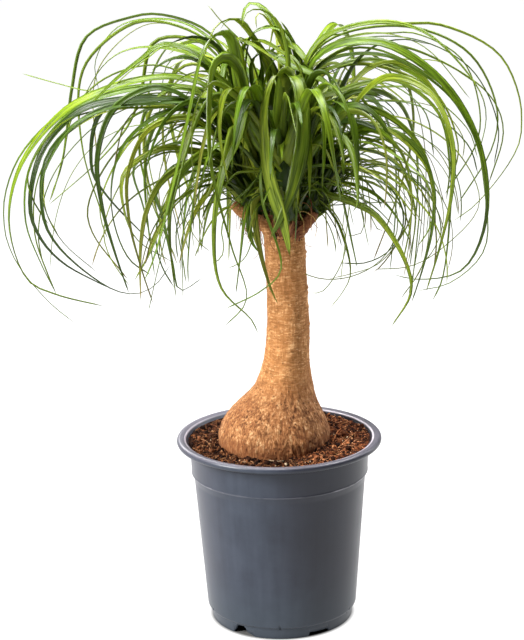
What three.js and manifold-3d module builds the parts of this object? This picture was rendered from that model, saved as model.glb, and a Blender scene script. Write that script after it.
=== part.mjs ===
// Potted ponytail palm: a nursery pot of soil, a swollen trunk and four heads of arching leaves.
// Millimetres, +Z up, the front faces -Y.
// Every shape is first laid out on the pot's axis with the floor at z = 0.
// At the end the whole plant is moved so that its box stands centred on the origin.
import * as THREE from 'three';
import { mergeVertices } from 'three/addons/utils/BufferGeometryUtils.js';
import Module from 'manifold-3d';

const wasm = await Module();
wasm.setup();

// Clearance between solids that touch on the real plant
const GAP = 0.3;

// Pot: a thin moulded wall on a ring foot, with a collar and a rolled rim
const POT_HEIGHT = 194;
const POT_SIDES = 40;
const WALL = 1.6;
const RIM_RADIUS = 105;
const RIM_DEPTH = 6.6;
const RIM_INNER_RADIUS = 96;
const FUNNEL_RADIUS = 91.3;
const FUNNEL_DEPTH = 7;
const COLLAR_TOP_RADIUS = 91.7;
const COLLAR_FOOT_RADIUS = 90.5;
const COLLAR_FOOT_Z = 158;
const BODY_TOP_RADIUS = 87.9;
const BODY_TOP_Z = 150;
const BODY_FOOT_RADIUS = 77.4;
const BODY_FOOT_Z = 13.4;
const FOOT_TOP_RADIUS = 74.6;
const FOOT_RADIUS = 73;
const FOOT_INNER_RADIUS = 70.6;
const FOOT_TOP_Z = 11.8;
const FLOOR_BOTTOM_Z = 10;
const FLOOR_TOP_Z = 12;
const FLOOR_RADIUS = 72.4;
const WALL_FOOT_Z = 15.2;
// Openings in the foot ring, as [angle, outline of (along the ring, height) pairs]; each has a twin opposite
const FOOT_OPENINGS = [
  [234, [[-8.9, 0.6], [-3, 9.5], [5.3, 9.6], [8.4, 4.2], [17.5, 0]]],
  [300.5, [[-12.2, 0], [-10.6, 4.4], [11, 3.8], [12.6, 0]]],
];
const DRAIN_COUNT = 8;
const DRAIN_RADIUS = 4.5;
const DRAIN_CIRCLE = 52;
const DRAIN_SIDES = 8;

// Soil: filled to just under the rim, a little lower by the trunk and heaped on the right
const SOIL_SIDES = 36;
const SOIL_EDGE_Z = 190;
const SOIL_RISE = -2.5;
const SOIL_MOUND = 6;
const SOIL_ROUGHNESS = 1.1;
const SOIL_RINGS = 5;

// Trunk: [height, left edge, right edge] of its outline seen from the front
const TRUNK_SIDES = 24;
const TRUNK_OUTLINE = [
  [164, -22, 14], [168, -42, 33], [174, -53, 44], [182, -59.5, 50.5], [191, -61.6, 52.4],
  [199, -61.3, 52], [210, -57, 49], [221, -49.5, 44.5], [230, -41, 40.2], [238, -32.5, 37.8],
  [246, -25.5, 36.2], [257, -20, 34.6], [270, -15.6, 33], [285, -12.6, 32.6], [311, -10.6, 32.8],
  [340, -9.9, 31.5], [378, -10.8, 30], [400, -11.4, 29], [408, -10, 27.6], [411.5, -5, 23],
];
const TRUNK_LUMP = 0.014;

// Crown: four heads round the top of the trunk, each on a short branch stub
const CROWN_X = 9.5;
const CROWN_Y = 0;
const HEAD_LEAN = 28;
const HEAD_REACH = 21;
const HEAD_Z = 424;
const HEAD_HALF_SECTOR = 45;
const STUB_LENGTH = 28;
const STUB_RADIUS = 9;
const STUB_SIDES = 12;
const CORE_SIDES = 9;
// [distance along the head's axis, radius] of the core of leaf bases
const CORE_OUTLINE = [[0, 8], [8, 12.5], [28, 15], [50, 11.5], [66, 6], [74, 0]];
const ROOT_NEAR = 14;
const ROOT_FAR = 60;
const GOLDEN_FRACTION = 0.618034;

// Leaf blade: a flat upper face over a shallow keel
const BLADE_MIN_THICKNESS = 0.8;
const BLADE_KEEL = 0.13;
const TWISTED_KEEL = 0.65;
const DEEPEST_KEEL = 0.5;
const BLADE_STEP = 52;
const BLADE_MIN_STEPS = 4;
const BLADE_MAX_STEPS = 8;
const SECTOR_CLEARANCE = 0.7;

// Leaves followed one by one. A route starts at the head's core.
// Its points are [reach from the crown's axis, height, sideways] in the leaf's own direction.
const LEFT_ROUTES = [
  [187, 6, [[65, 544], [95, 555], [139, 557], [178, 550], [215, 534], [259, 491], [277, 437],
    [269, 393], [236, 345], [211, 322]]],
  [192, 10, [[68, 549], [101, 564], [140, 564], [179, 554], [214, 537], [257, 489], [272, 431],
    [257, 375], [231, 359], [183, 343]]],
  [196, 6, [[73, 545], [122, 557], [171, 553], [210, 538], [250, 491], [258, 438], [246, 396],
    [232, 363]]],
  [201, 9, [[80, 536], [125, 548], [170, 549], [205, 542], [242, 508], [257, 454], [249, 425],
    [229, 399], [185, 369]]],
  [207, 5, [[99, 543], [151, 549], [197, 543], [245, 507], [253, 452], [240, 421], [187, 372],
    [161, 364], [142, 370], [124, 390]]],
  [212, 5, [[93, 539], [147, 548], [194, 547], [229, 534], [262, 487], [259, 459], [244, 429],
    [210, 395]]],
  [176, 3.5, [[76, 541], [120, 552], [160, 551], [190, 549], [219, 556], [257, 567]]],
  [172, 6.5, [[42, 538], [55, 582], [75, 607], [121, 622], [149, 619], [194, 600], [211, 548],
    [217, 513], [225, 473], [239, 437]]],
  [164, 4, [[61, 578], [88, 602], [145, 613], [197, 580], [212, 552], [212, 483], [194, 416]]],
  [158, 5, [[45, 537], [59, 576], [86, 603], [119, 614], [176, 606], [204, 570], [201, 539]]],
  [183, 6, [[42, 520], [59, 559], [84, 583], [139, 593], [169, 581], [196, 540], [199, 522]]],
  [199, 8, [[46, 522], [62, 557], [83, 586], [120, 599], [142, 586], [168, 568], [199, 540]]],
  [168, 5, [[43, 538], [60, 575], [86, 596], [128, 594], [144, 542], [158, 511], [189, 476],
    [246, 428]]],
  [190, 8, [[45, 501], [82, 530], [130, 546], [177, 535], [189, 480], [178, 456], [133, 402]]],
  [186, 6, [[43, 500], [76, 529], [115, 536], [145, 528], [184, 486]]],
  [203, 8, [[46, 498], [82, 527], [115, 537], [165, 507], [180, 454], [165, 398], [141, 377]]],
  [178, 4, [[43, 494], [77, 522], [116, 522], [151, 499], [183, 441], [183, 419], [177, 400]]],
  [180, 3.5, [[77, 516], [121, 515], [163, 492], [195, 436], [192, 410], [158, 360]]],
  [200, 8, [[71, 488], [96, 496], [127, 499], [163, 478], [164, 441], [153, 413], [118, 387]]],
  [194, 5, [[69, 493], [103, 502], [149, 482], [142, 443], [134, 400]]],
  [208, 6, [[68, 480], [94, 488], [121, 483], [139, 460], [133, 438], [124, 391], [117, 362],
    [91, 372]]],
  [170, 4, [[62, 476], [84, 478], [105, 468], [114, 447], [114, 431]]],
  [206, 7, [[45, 493], [62, 534], [80, 552], [91, 534], [116, 475], [143, 407], [163, 376]]],
  [150, 6, [[24, 517], [24, 576], [33, 603], [43, 616, 3], [54, 615, 12], [60, 606, 16]]],
];
const RIGHT_ROUTES = [
  [-8, 7.5, [[16, 535], [22, 571], [38, 597], [62, 608], [98, 614], [126, 609], [151, 595],
    [192, 546], [198, 521], [191, 485]]],
  [4, 6, [[14, 530], [24, 575], [50, 601], [86, 610], [121, 609], [155, 607], [214, 576],
    [237, 519], [233, 484], [192, 428], [168, 411]]],
  [12, 5, [[16, 535], [26, 575], [55, 598], [129, 604], [191, 575], [220, 519], [216, 481],
    [180, 424]]],
  [20, 4, [[18, 530], [32, 564], [66, 585], [109, 587], [158, 572], [225, 528], [241, 491],
    [225, 436]]],
  [-19, 11, [[18, 525], [28, 570], [50, 590], [81, 597], [111, 593], [164, 556], [197, 498],
    [203, 427], [180, 378], [134, 366], [110, 370]]],
  [-14, 8, [[18, 520], [28, 562], [53, 584], [87, 590], [145, 564], [182, 526], [199, 454],
    [199, 395], [166, 361], [132, 351]]],
  [14, 6, [[24, 561], [49, 577], [84, 579], [126, 572], [162, 568], [203, 543]]],
  [-5, 6.5, [[29, 554], [61, 573], [95, 576], [145, 549], [163, 498], [164, 433], [156, 357],
    [146, 335]]],
  [9, 7, [[25, 557], [57, 569], [95, 568], [154, 538], [177, 485], [174, 461]]],
  [-27, 7, [[32, 536], [60, 549], [93, 560], [120, 563], [163, 535], [175, 485], [172, 451]]],
  [1, 5.5, [[32, 534], [61, 545], [100, 549], [134, 545], [182, 505], [192, 475]]],
  [24, 3.5, [[38, 524], [73, 529], [113, 530], [176, 515], [204, 481], [202, 461]]],
  [-23, 9, [[34, 520], [65, 533], [99, 532], [141, 500], [156, 446], [151, 420], [138, 400]]],
  [-31, 7, [[39, 513], [75, 521], [112, 518], [155, 485], [167, 439]]],
  [6, 4, [[37, 513], [76, 518], [121, 516], [172, 483], [197, 427], [162, 385], [128, 366],
    [88, 364]]],
  [-36, 10, [[44, 495], [81, 504], [115, 501], [164, 473], [171, 458]]],
  [-28, 9, [[45, 474], [79, 476], [109, 467], [144, 430]]],
  [-17, 7, [[39, 500], [78, 507], [113, 496], [136, 444], [135, 412], [128, 344]]],
  [-10, 7, [[38, 487], [78, 490], [111, 478], [130, 427], [123, 376]]],
  [-33, 8, [[47, 451], [78, 444], [105, 433], [137, 391], [143, 362], [121, 324]]],
  [-4, 4.5, [[46, 481], [87, 476], [118, 454], [126, 426], [95, 375], [65, 363], [43, 358]]],
  [16, 4, [[43, 508], [85, 507], [145, 457], [154, 422], [146, 360], [122, 326]]],
  [-38, 4, [[42, 445], [61, 433], [74, 413], [72, 389], [45, 351], [30, 348]]],
  [-26, 4.5, [[39, 442], [58, 419], [71, 370], [63, 351], [48, 332]]],
  [10, 3.5, [[41, 447], [72, 435], [81, 412], [77, 400], [62, 399]]],
  [-12, 4, [[40, 437], [71, 437], [101, 439], [117, 439]]],
];
const FRONT_ROUTES = [
  [236, 10, [[45, 494, -12], [66, 556, -5], [82, 602], [96, 613, 3], [115, 611], [131, 597],
    [156, 540], [183, 471, -3], [203, 416, -10], [213, 398, -14]]],
  [250, 11, [[35, 484, -12], [55, 541, -16], [73, 580, -18], [87, 590, -24], [100, 585, -30],
    [111, 562, -31], [128, 495, -25], [132, 421, -6], [130, 369, 7], [131, 341, -16]]],
  [240, 9, [[41, 479, -12], [61, 519, -17], [81, 540, -20], [99, 539, -24], [124, 478, -31],
    [140, 401, -38], [142, 379, -43]]],
  [246, 7, [[38, 476, -10], [54, 507, -16], [71, 522, -20], [84, 502, -22], [103, 429, -29],
    [106, 372, -21], [92, 339, 4], [88, 324, 9]]],
  [243, 7, [[40, 484, -12], [69, 542, -20], [93, 554, -28], [110, 546, -31], [138, 499, -36],
    [166, 429, -44], [184, 374, -57], [188, 361, -61]]],
  [262, 12, [[22, 490, 1], [35, 539, 9], [49, 568, 12], [60, 574, 6], [73, 566], [86, 541, -5],
    [101, 486], [107, 432, 15], [108, 407, 19]]],
  [279, 12, [[21, 490, -4], [35, 534, -7], [50, 568, -3], [63, 568, 2], [78, 551, 5],
    [92, 513, 3], [103, 462, -12], [106, 441, -22], [104, 424, -31]]],
  [290, 9, [[27, 483, -1], [46, 530, 4], [63, 552, 9], [76, 550, 10], [99, 504, 4], [106, 481]]],
  [256, 8, [[38, 456, -14], [45, 444, -20], [51, 404, -14], [52, 362, -3], [50, 345, 4]]],
  [268, 3, [[48, 493, -13], [71, 487, -19], [91, 457, -18], [106, 393, -1], [113, 375, -19],
    [116, 358, -54]]],
  [300, 9, [[30, 474, -4], [53, 516], [72, 535], [90, 528, 3], [105, 503, 2], [114, 477, -2]]],
  [306, 7, [[32, 474, -7], [59, 507, -4], [85, 517, -3], [108, 505, -2], [127, 454, -9],
    [127, 448, -15]]],
  [258, 10, [[21, 468, -3], [38, 515, -5], [51, 534, -10], [65, 536, -16], [87, 494, -24]]],
  [284, 9, [[22, 468, -5], [39, 505, -1], [54, 523, 3], [70, 509, 6], [85, 455, 3]]],
  [264, 6, [[40, 460, -11], [48, 468, -13], [62, 473, -19], [75, 463, -27], [84, 456, -36]]],
  [262, 8, [[20, 500, 2], [28, 552, 8], [36, 589, 10], [43, 620, 3], [50, 636, -8],
    [57, 639, -18], [66, 634, -25], [73, 619, -28]]],
];
const BACK_ROUTES = [];

// Kinds of leaf placed by rule, with the ranges that their measures are drawn from.
// A head's flank is the range of angles that they turn off its own direction, to either side.
const LONG_LEAF = { launch: [54, 74], length: [330, 415], bend: [0.4, 0.52], hang: [-128, -92],
  sharpness: [3.2, 5], width: [5, 9] };
const MIDDLE_LEAF = { launch: [35, 70], length: [230, 330], bend: [0.3, 0.45], hang: [-120, -80],
  sharpness: [3, 4.5], width: [5, 9] };
const SHORT_LEAF = { launch: [5, 40], length: [110, 190], bend: [0.25, 0.5], hang: [-100, -50],
  sharpness: [2.5, 4], width: [4, 6] };
const UPRIGHT_LEAF = { launch: [62, 84], length: [190, 270], bend: [0.5, 0.62], hang: [-105, -60],
  sharpness: [4, 6], width: [6, 11] };
const FILL_DRIFT = 0.1;
const FILL_POINTS = 9;
const FILL_SUBSTEPS = 8;

const HEADS = [
  { name: 'leaf_head_left', facing: 180, seed: 239, routes: LEFT_ROUTES, flank: [30, 44],
    fill: [[LONG_LEAF, 4], [MIDDLE_LEAF, 3], [SHORT_LEAF, 3]] },
  { name: 'leaf_head_right', facing: 0, seed: 125, routes: RIGHT_ROUTES, flank: [28, 44],
    fill: [[LONG_LEAF, 3], [MIDDLE_LEAF, 3], [SHORT_LEAF, 2]] },
  { name: 'leaf_head_front', facing: 270, seed: 37, routes: FRONT_ROUTES, flank: [6, 44],
    fill: [[UPRIGHT_LEAF, 9], [SHORT_LEAF, 1]] },
  { name: 'leaf_head_back', facing: 90, seed: 53, routes: BACK_ROUTES, flank: [0, 44],
    fill: [[LONG_LEAF, 15], [MIDDLE_LEAF, 9], [UPRIGHT_LEAF, 5], [SHORT_LEAF, 3]] },
];

const POT_COLOUR = 0x5b626d;
const SOIL_COLOUR = 0x4a2c1e;
const BARK_COLOUR = 0xb98354;
const LEAF_COLOUR = 0x5d8a2e;

function radians(degrees) {
  return (degrees * Math.PI) / 180;
}

function mix(from, to, amount) {
  return from + (to - from) * amount;
}

// A small seeded generator, so that the plant is the same each time
function seededRandom(seed) {
  let state = seed;
  return () => {
    state = (state + 0x6d2b79f5) | 0;
    let bits = Math.imul(state ^ (state >>> 15), 1 | state);
    bits = (bits + Math.imul(bits ^ (bits >>> 7), 61 | bits)) ^ bits;
    return ((bits ^ (bits >>> 14)) >>> 0) / 4294967296;
  };
}

function material(colour, roughness) {
  return new THREE.MeshStandardMaterial({ color: colour, roughness, metalness: 0 });
}

// A closed geometry as a solid that can be joined and cut
function toSolid(geometry) {
  const bare = geometry.clone();
  bare.deleteAttribute('normal');
  bare.deleteAttribute('uv');
  const merged = mergeVertices(bare, 1e-4);
  const corners = merged.index.array;
  const kept = [];
  for (let i = 0; i < corners.length; i += 3) {
    const [a, b, c] = [corners[i], corners[i + 1], corners[i + 2]];
    if (a !== b && b !== c && c !== a) kept.push(a, b, c);
  }
  return new wasm.Manifold(new wasm.Mesh({
    numProp: 3,
    vertProperties: new Float32Array(merged.attributes.position.array),
    triVerts: new Uint32Array(kept),
  }));
}

function toGeometry(solid) {
  const mesh = solid.getMesh();
  const geometry = new THREE.BufferGeometry();
  geometry.setAttribute('position', new THREE.BufferAttribute(mesh.vertProperties, 3));
  geometry.setIndex(new THREE.BufferAttribute(mesh.triVerts, 1));
  geometry.computeVertexNormals();
  return geometry;
}

// A geometry from rows of points: each row is a closed ring, capped by a first and a last point
function loftRings(rings, firstPoint, lastPoint) {
  const sides = rings[0].length;
  const points = [firstPoint, ...rings.flat(), lastPoint];
  const faces = [];
  const last = points.length - 1;
  for (let s = 0; s < sides; s += 1) {
    const next = (s + 1) % sides;
    faces.push(0, 1 + next, 1 + s);
    for (let r = 0; r + 1 < rings.length; r += 1) {
      const low = 1 + r * sides;
      const high = low + sides;
      faces.push(low + s, low + next, high + next);
      faces.push(low + s, high + next, high + s);
    }
    faces.push(last, last - sides + s, last - sides + next);
  }
  const geometry = new THREE.BufferGeometry();
  geometry.setAttribute('position', new THREE.Float32BufferAttribute(points.flat(), 3));
  geometry.setIndex(faces);
  return geometry;
}

// A solid turned about the vertical from a [radius, height] outline
function turned(outline, sides) {
  const points = outline.map(([radius, height]) => new THREE.Vector2(radius, height));
  return new THREE.LatheGeometry(points, sides).rotateX(Math.PI / 2);
}

// Pot

function rimArc(steps) {
  const radius = RIM_DEPTH / 2;
  const outline = [];
  for (let i = 0; i <= steps; i += 1) {
    const angle = radians(mix(-90, 90, i / steps));
    outline.push([
      RIM_RADIUS - radius + radius * Math.cos(angle),
      POT_HEIGHT - radius + radius * Math.sin(angle),
    ]);
  }
  return outline;
}

function potOutline() {
  const lipZ = POT_HEIGHT - RIM_DEPTH;
  return [
    [0, FLOOR_BOTTOM_Z],
    [FOOT_INNER_RADIUS, FLOOR_BOTTOM_Z],
    [FOOT_INNER_RADIUS, 0],
    [FOOT_RADIUS, 0],
    [FOOT_TOP_RADIUS, FOOT_TOP_Z],
    [BODY_FOOT_RADIUS, BODY_FOOT_Z],
    [BODY_TOP_RADIUS, BODY_TOP_Z],
    [COLLAR_FOOT_RADIUS, COLLAR_FOOT_Z],
    [COLLAR_TOP_RADIUS, lipZ - 1.4],
    [COLLAR_TOP_RADIUS + 1.4, lipZ],
    ...rimArc(5),
    [RIM_INNER_RADIUS, POT_HEIGHT - 1.2],
    [FUNNEL_RADIUS, POT_HEIGHT - FUNNEL_DEPTH],
    [COLLAR_TOP_RADIUS - WALL, POT_HEIGHT - 12],
    [COLLAR_FOOT_RADIUS - WALL, COLLAR_FOOT_Z + 1],
    [BODY_TOP_RADIUS - WALL, BODY_TOP_Z + 1],
    [BODY_FOOT_RADIUS - WALL, WALL_FOOT_Z],
    [FLOOR_RADIUS, FLOOR_TOP_Z],
    [0, FLOOR_TOP_Z],
  ];
}

// A block through the foot ring at an angle, to cut an opening of that outline
function footCutter(angle, outline) {
  const inner = FOOT_INNER_RADIUS - 8;
  const depth = FOOT_TOP_RADIUS + 4 - inner;
  const first = outline[0];
  const last = outline[outline.length - 1];
  const corners = [[first[0], -1], ...outline, [last[0], -1]];
  const shape = new THREE.Shape(corners.map(([along, z]) => new THREE.Vector2(along, z)));
  const block = new THREE.ExtrudeGeometry(shape, { depth, bevelEnabled: false });
  block.rotateX(Math.PI / 2).rotateZ(Math.PI).translate(0, inner, 0);
  return toSolid(block.rotateZ(radians(angle - 90)));
}

function drainCutter(x, y) {
  const length = FLOOR_TOP_Z - FLOOR_BOTTOM_Z + 4;
  const peg = new THREE.CylinderGeometry(DRAIN_RADIUS, DRAIN_RADIUS, length, DRAIN_SIDES);
  peg.rotateX(Math.PI / 2).translate(x, y, (FLOOR_TOP_Z + FLOOR_BOTTOM_Z) / 2);
  return toSolid(peg);
}

function makePot() {
  let solid = toSolid(turned(potOutline(), POT_SIDES));
  for (const [angle, outline] of FOOT_OPENINGS) {
    solid = solid.subtract(footCutter(angle, outline));
    solid = solid.subtract(footCutter(angle + 180, outline));
  }
  solid = solid.subtract(drainCutter(0, 0));
  for (let i = 0; i < DRAIN_COUNT; i += 1) {
    const angle = radians((360 / DRAIN_COUNT) * i);
    const x = DRAIN_CIRCLE * Math.cos(angle);
    const y = DRAIN_CIRCLE * Math.sin(angle);
    solid = solid.subtract(drainCutter(x, y));
  }
  return toGeometry(solid);
}

// Trunk

function trunkRing(z, left, right, swell) {
  const centre = (left + right) / 2;
  const radius = (right - left) / 2 + swell;
  const ring = [];
  for (let s = 0; s < TRUNK_SIDES; s += 1) {
    const angle = (2 * Math.PI * s) / TRUNK_SIDES;
    const lump = Math.sin(3 * angle + z * 0.021) + Math.sin(5 * angle - z * 0.034);
    const r = radius * (1 + TRUNK_LUMP * lump * Math.min(1, Math.abs(Math.sin(angle)) + 0.2));
    ring.push([centre + r * Math.cos(angle), r * Math.sin(angle), z]);
  }
  return ring;
}

// The trunk's body, or the hole that it stands in when swell is the clearance
function trunkBody(swell) {
  const rings = TRUNK_OUTLINE.map(([z, left, right]) => trunkRing(z, left, right, swell));
  const [lowZ, lowLeft, lowRight] = TRUNK_OUTLINE[0];
  const [topZ, topLeft, topRight] = TRUNK_OUTLINE[TRUNK_OUTLINE.length - 1];
  const low = [(lowLeft + lowRight) / 2, 0, lowZ - 1 - swell];
  const top = [(topLeft + topRight) / 2, 0, topZ + 1];
  return toSolid(loftRings(rings, low, top));
}

// A shape made about the vertical, leant outwards along a head's axis from its foot
function placeOnHead(geometry, facing) {
  geometry.rotateY(radians(HEAD_LEAN));
  geometry.translate(HEAD_REACH, 0, HEAD_Z);
  geometry.rotateZ(radians(facing));
  return geometry.translate(CROWN_X, CROWN_Y, 0);
}

function branchStub(facing) {
  const outline = [[0, -STUB_LENGTH], [STUB_RADIUS, -STUB_LENGTH], [STUB_RADIUS, -GAP], [0, -GAP]];
  return toSolid(placeOnHead(turned(outline, STUB_SIDES), facing));
}

function makeTrunk() {
  let solid = trunkBody(0);
  for (const { facing } of HEADS) solid = solid.add(branchStub(facing));
  return toGeometry(solid);
}

// Soil

function potInnerRadius(z) {
  const profile = [
    [FLOOR_TOP_Z, FLOOR_RADIUS],
    [WALL_FOOT_Z, BODY_FOOT_RADIUS - WALL],
    [BODY_TOP_Z + 1, BODY_TOP_RADIUS - WALL],
    [COLLAR_FOOT_Z + 1, COLLAR_FOOT_RADIUS - WALL],
    [POT_HEIGHT - 12, COLLAR_TOP_RADIUS - WALL],
    [POT_HEIGHT - FUNNEL_DEPTH, FUNNEL_RADIUS],
    [POT_HEIGHT - 1.2, RIM_INNER_RADIUS],
  ];
  for (let i = 1; i < profile.length; i += 1) {
    const [lowZ, lowR] = profile[i - 1];
    const [highZ, highR] = profile[i];
    if (z <= highZ) return mix(lowR, highR, (z - lowZ) / (highZ - lowZ));
  }
  return RIM_INNER_RADIUS;
}

function makeSoil() {
  const random = seededRandom(7);
  // The wall's facets bring the pot's flats inside its round, so the soil keeps to the flats
  const flat = Math.cos(Math.PI / POT_SIDES);
  const rings = [];
  const wallHeights = [
    FLOOR_TOP_Z + GAP, WALL_FOOT_Z + GAP, BODY_TOP_Z, COLLAR_FOOT_Z + 2, POT_HEIGHT - 12,
    POT_HEIGHT - FUNNEL_DEPTH - GAP,
  ];
  for (const z of wallHeights) {
    const radius = potInnerRadius(z) * flat - GAP;
    rings.push(soilRing(radius, () => z));
  }
  const edge = potInnerRadius(SOIL_EDGE_Z) * flat - GAP * Math.SQRT2;
  for (let r = 0; r < SOIL_RINGS; r += 1) {
    const share = 1 - r / SOIL_RINGS;
    rings.push(soilRing(edge * share, (x) => {
      const rise = SOIL_RISE * (1 - share) + SOIL_MOUND * (x / edge) * (1 - share * share);
      return SOIL_EDGE_Z + rise + SOIL_ROUGHNESS * (2 * random() - 1) * Math.min(1, r);
    }));
  }
  const body = toSolid(loftRings(rings, [0, 0, FLOOR_TOP_Z + GAP], [0, 0, SOIL_EDGE_Z + SOIL_RISE]));
  return toGeometry(body.subtract(trunkBody(GAP)));
}

function soilRing(radius, heightAt) {
  const ring = [];
  for (let s = 0; s < SOIL_SIDES; s += 1) {
    const angle = (2 * Math.PI * s) / SOIL_SIDES;
    const x = radius * Math.cos(angle);
    ring.push([x, radius * Math.sin(angle), heightAt(x)]);
  }
  return ring;
}

// Leaves

// The root of a leaf on its head's axis, as [reach, height]
function rootOf(order) {
  const along = mix(ROOT_NEAR, ROOT_FAR, (order * GOLDEN_FRACTION) % 1);
  const lean = radians(HEAD_LEAN);
  return [HEAD_REACH + along * Math.sin(lean), HEAD_Z + along * Math.cos(lean)];
}

// A route's points as [reach, sideways, height] in the head's own direction
function routeInHead(azimuth, facing, route, order) {
  const turn = radians(azimuth - facing);
  const [rootReach, rootZ] = rootOf(order);
  const points = [[rootReach, 0, rootZ]];
  for (const [reach, z, side = 0] of route) {
    points.push([
      reach * Math.cos(turn) - side * Math.sin(turn),
      reach * Math.sin(turn) + side * Math.cos(turn),
      z,
    ]);
  }
  return points;
}

// A leaf by rule: it launches, bends over its middle and hangs, drifting a little to one side
function ruledLeaf(random, kind, flank, order) {
  const draw = ([from, to]) => mix(from, to, random());
  const azimuth = radians(draw(flank) * (order % 2 === 0 ? 1 : -1));
  const launch = draw(kind.launch);
  const length = draw(kind.length);
  const bend = draw(kind.bend);
  const hang = draw(kind.hang);
  const sharpness = draw(kind.sharpness);
  const width = draw(kind.width);
  const drift = length * FILL_DRIFT * (2 * random() - 1);
  const start = Math.tanh(-sharpness * bend);
  const finish = Math.tanh(sharpness * (1 - bend));
  const steps = (FILL_POINTS - 1) * FILL_SUBSTEPS;
  let [reach, z] = rootOf(order);
  const points = [[reach, 0, z]];
  for (let i = 1; i <= steps; i += 1) {
    const along = i / steps;
    const turned01 = (Math.tanh(sharpness * (along - bend)) - start) / (finish - start);
    const angle = radians(mix(launch, hang, turned01));
    reach += (Math.cos(angle) * length) / steps;
    z += (Math.sin(angle) * length) / steps;
    if (i % FILL_SUBSTEPS === 0) {
      const side = reach * Math.sin(azimuth) * Math.min(1, along * 3) + drift * along * along;
      points.push([reach * mix(1, Math.cos(azimuth), Math.min(1, along * 3)), side, z]);
    }
  }
  return { points, width };
}

// Holds a leaf inside its head's sector, bending it smoothly off the edge
function keepInSector([reach, side, z], halfWidth) {
  const edge = Math.SQRT2 * (halfWidth + SECTOR_CLEARANCE);
  const away = Math.max(reach, edge + 1);
  const limit = away * Math.tan(radians(HEAD_HALF_SECTOR)) - edge;
  const share = Math.abs(side) / limit;
  const free = 0.8;
  const held = share <= free ? share : free + (1 - free) * Math.tanh((share - free) / (1 - free));
  return new THREE.Vector3(away, Math.sign(side) * held * limit, z);
}

function bladeWidth(along, width) {
  const base = 1 + 0.5 * Math.max(0, 1 - along / 0.12);
  const taper = along < 0.45 ? 1 : 1 - ((along - 0.45) / 0.55) ** 1.3;
  return width * base * Math.max(taper, 0.22);
}

// A blade's centre, its direction across and the direction of its underside, at each station but the tip
function bladeFrames(stations) {
  const across = new THREE.Vector3(0, 1, 0);
  const frames = [];
  for (let i = 0; i + 1 < stations.length; i += 1) {
    const behind = stations[Math.max(0, i - 1)];
    const tangent = stations[i + 1].clone().sub(behind).normalize();
    across.addScaledVector(tangent, -across.dot(tangent)).normalize();
    const under = new THREE.Vector3().crossVectors(across, tangent);
    frames.push({ centre: stations[i], across: across.clone(), under });
  }
  return frames;
}

// How deep the keel is, as a share of the width: deeper where the blade twists, so its walls stay apart
function keelShare(frames, i) {
  const behind = frames[Math.max(0, i - 1)].across;
  const ahead = frames[Math.min(frames.length - 1, i + 1)].across;
  const twist = Math.max(frames[i].across.angleTo(behind), frames[i].across.angleTo(ahead));
  return Math.max(BLADE_KEEL, Math.min(DEEPEST_KEEL, TWISTED_KEEL * Math.sin(twist)));
}

// A blade along a list of points, closed by its root and by its pointed tip
function bladeSolid(points, width) {
  const held = points.map((point) => keepInSector(point, width / 2));
  const curve = new THREE.CatmullRomCurve3(held, false, 'centripetal');
  const wanted = Math.round(curve.getLength() / BLADE_STEP);
  const steps = Math.min(BLADE_MAX_STEPS, Math.max(BLADE_MIN_STEPS, wanted));
  const stations = curve.getSpacedPoints(steps);
  const frames = bladeFrames(stations);
  const rings = frames.map(({ centre, across, under }, i) => {
    const wide = bladeWidth(i / steps, width);
    const keel = Math.max(BLADE_MIN_THICKNESS, keelShare(frames, i) * wide);
    const left = centre.clone().addScaledVector(across, -wide / 2);
    const right = centre.clone().addScaledVector(across, wide / 2);
    const bottom = centre.clone().addScaledVector(under, keel);
    return [left.toArray(), bottom.toArray(), right.toArray()];
  });
  const root = stations[0].clone().addScaledVector(stations[1].clone().sub(stations[0]), -0.1);
  return toSolid(loftRings(rings, root.toArray(), stations[steps].toArray()));
}

function coreSolid() {
  const outline = CORE_OUTLINE.map(([along, radius]) => [radius, along]);
  const geometry = turned([[0, 0], ...outline], CORE_SIDES);
  geometry.rotateY(radians(HEAD_LEAN));
  return toSolid(geometry.translate(HEAD_REACH, 0, HEAD_Z));
}

// The largest body of a solid: hollows that the leaves close are filled, scraps are dropped
function largestBody(solid) {
  const bodies = solid.decompose();
  return bodies.reduce((best, body) => (body.volume() > best.volume() ? body : best));
}

function makeHead({ facing, seed, routes, flank, fill }) {
  const random = seededRandom(seed);
  const leaves = routes.map(([azimuth, width, route], order) => (
    { points: routeInHead(azimuth, facing, route, order), width }
  ));
  for (const [kind, count] of fill) {
    for (let i = 0; i < count; i += 1) {
      leaves.push(ruledLeaf(random, kind, flank, leaves.length));
    }
  }
  let solid = coreSolid();
  for (const { points, width } of leaves) solid = solid.add(bladeSolid(points, width));
  const geometry = toGeometry(largestBody(solid));
  geometry.rotateZ(radians(facing));
  return geometry.translate(CROWN_X, CROWN_Y, 0);
}

const plant = new THREE.Group();

function addPiece(name, geometry, look) {
  const mesh = new THREE.Mesh(geometry, look);
  mesh.name = name;
  plant.add(mesh);
}

addPiece('pot', makePot(), material(POT_COLOUR, 0.45));
addPiece('soil', makeSoil(), material(SOIL_COLOUR, 0.95));
addPiece('trunk', makeTrunk(), material(BARK_COLOUR, 0.85));
for (const head of HEADS) addPiece(head.name, makeHead(head), material(LEAF_COLOUR, 0.5));

const box = new THREE.Box3().setFromObject(plant);
const middle = box.getCenter(new THREE.Vector3());
plant.position.set(-middle.x, -middle.y, -box.min.z);

export default plant;
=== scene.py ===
# Potted ponytail palm: a fine pot, soil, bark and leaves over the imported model.
# Shapes are laid out in millimetres on the pot's axis with the floor at z = 0.
# They are set in the frame, in metres, when their mesh is made.
import math

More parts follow.
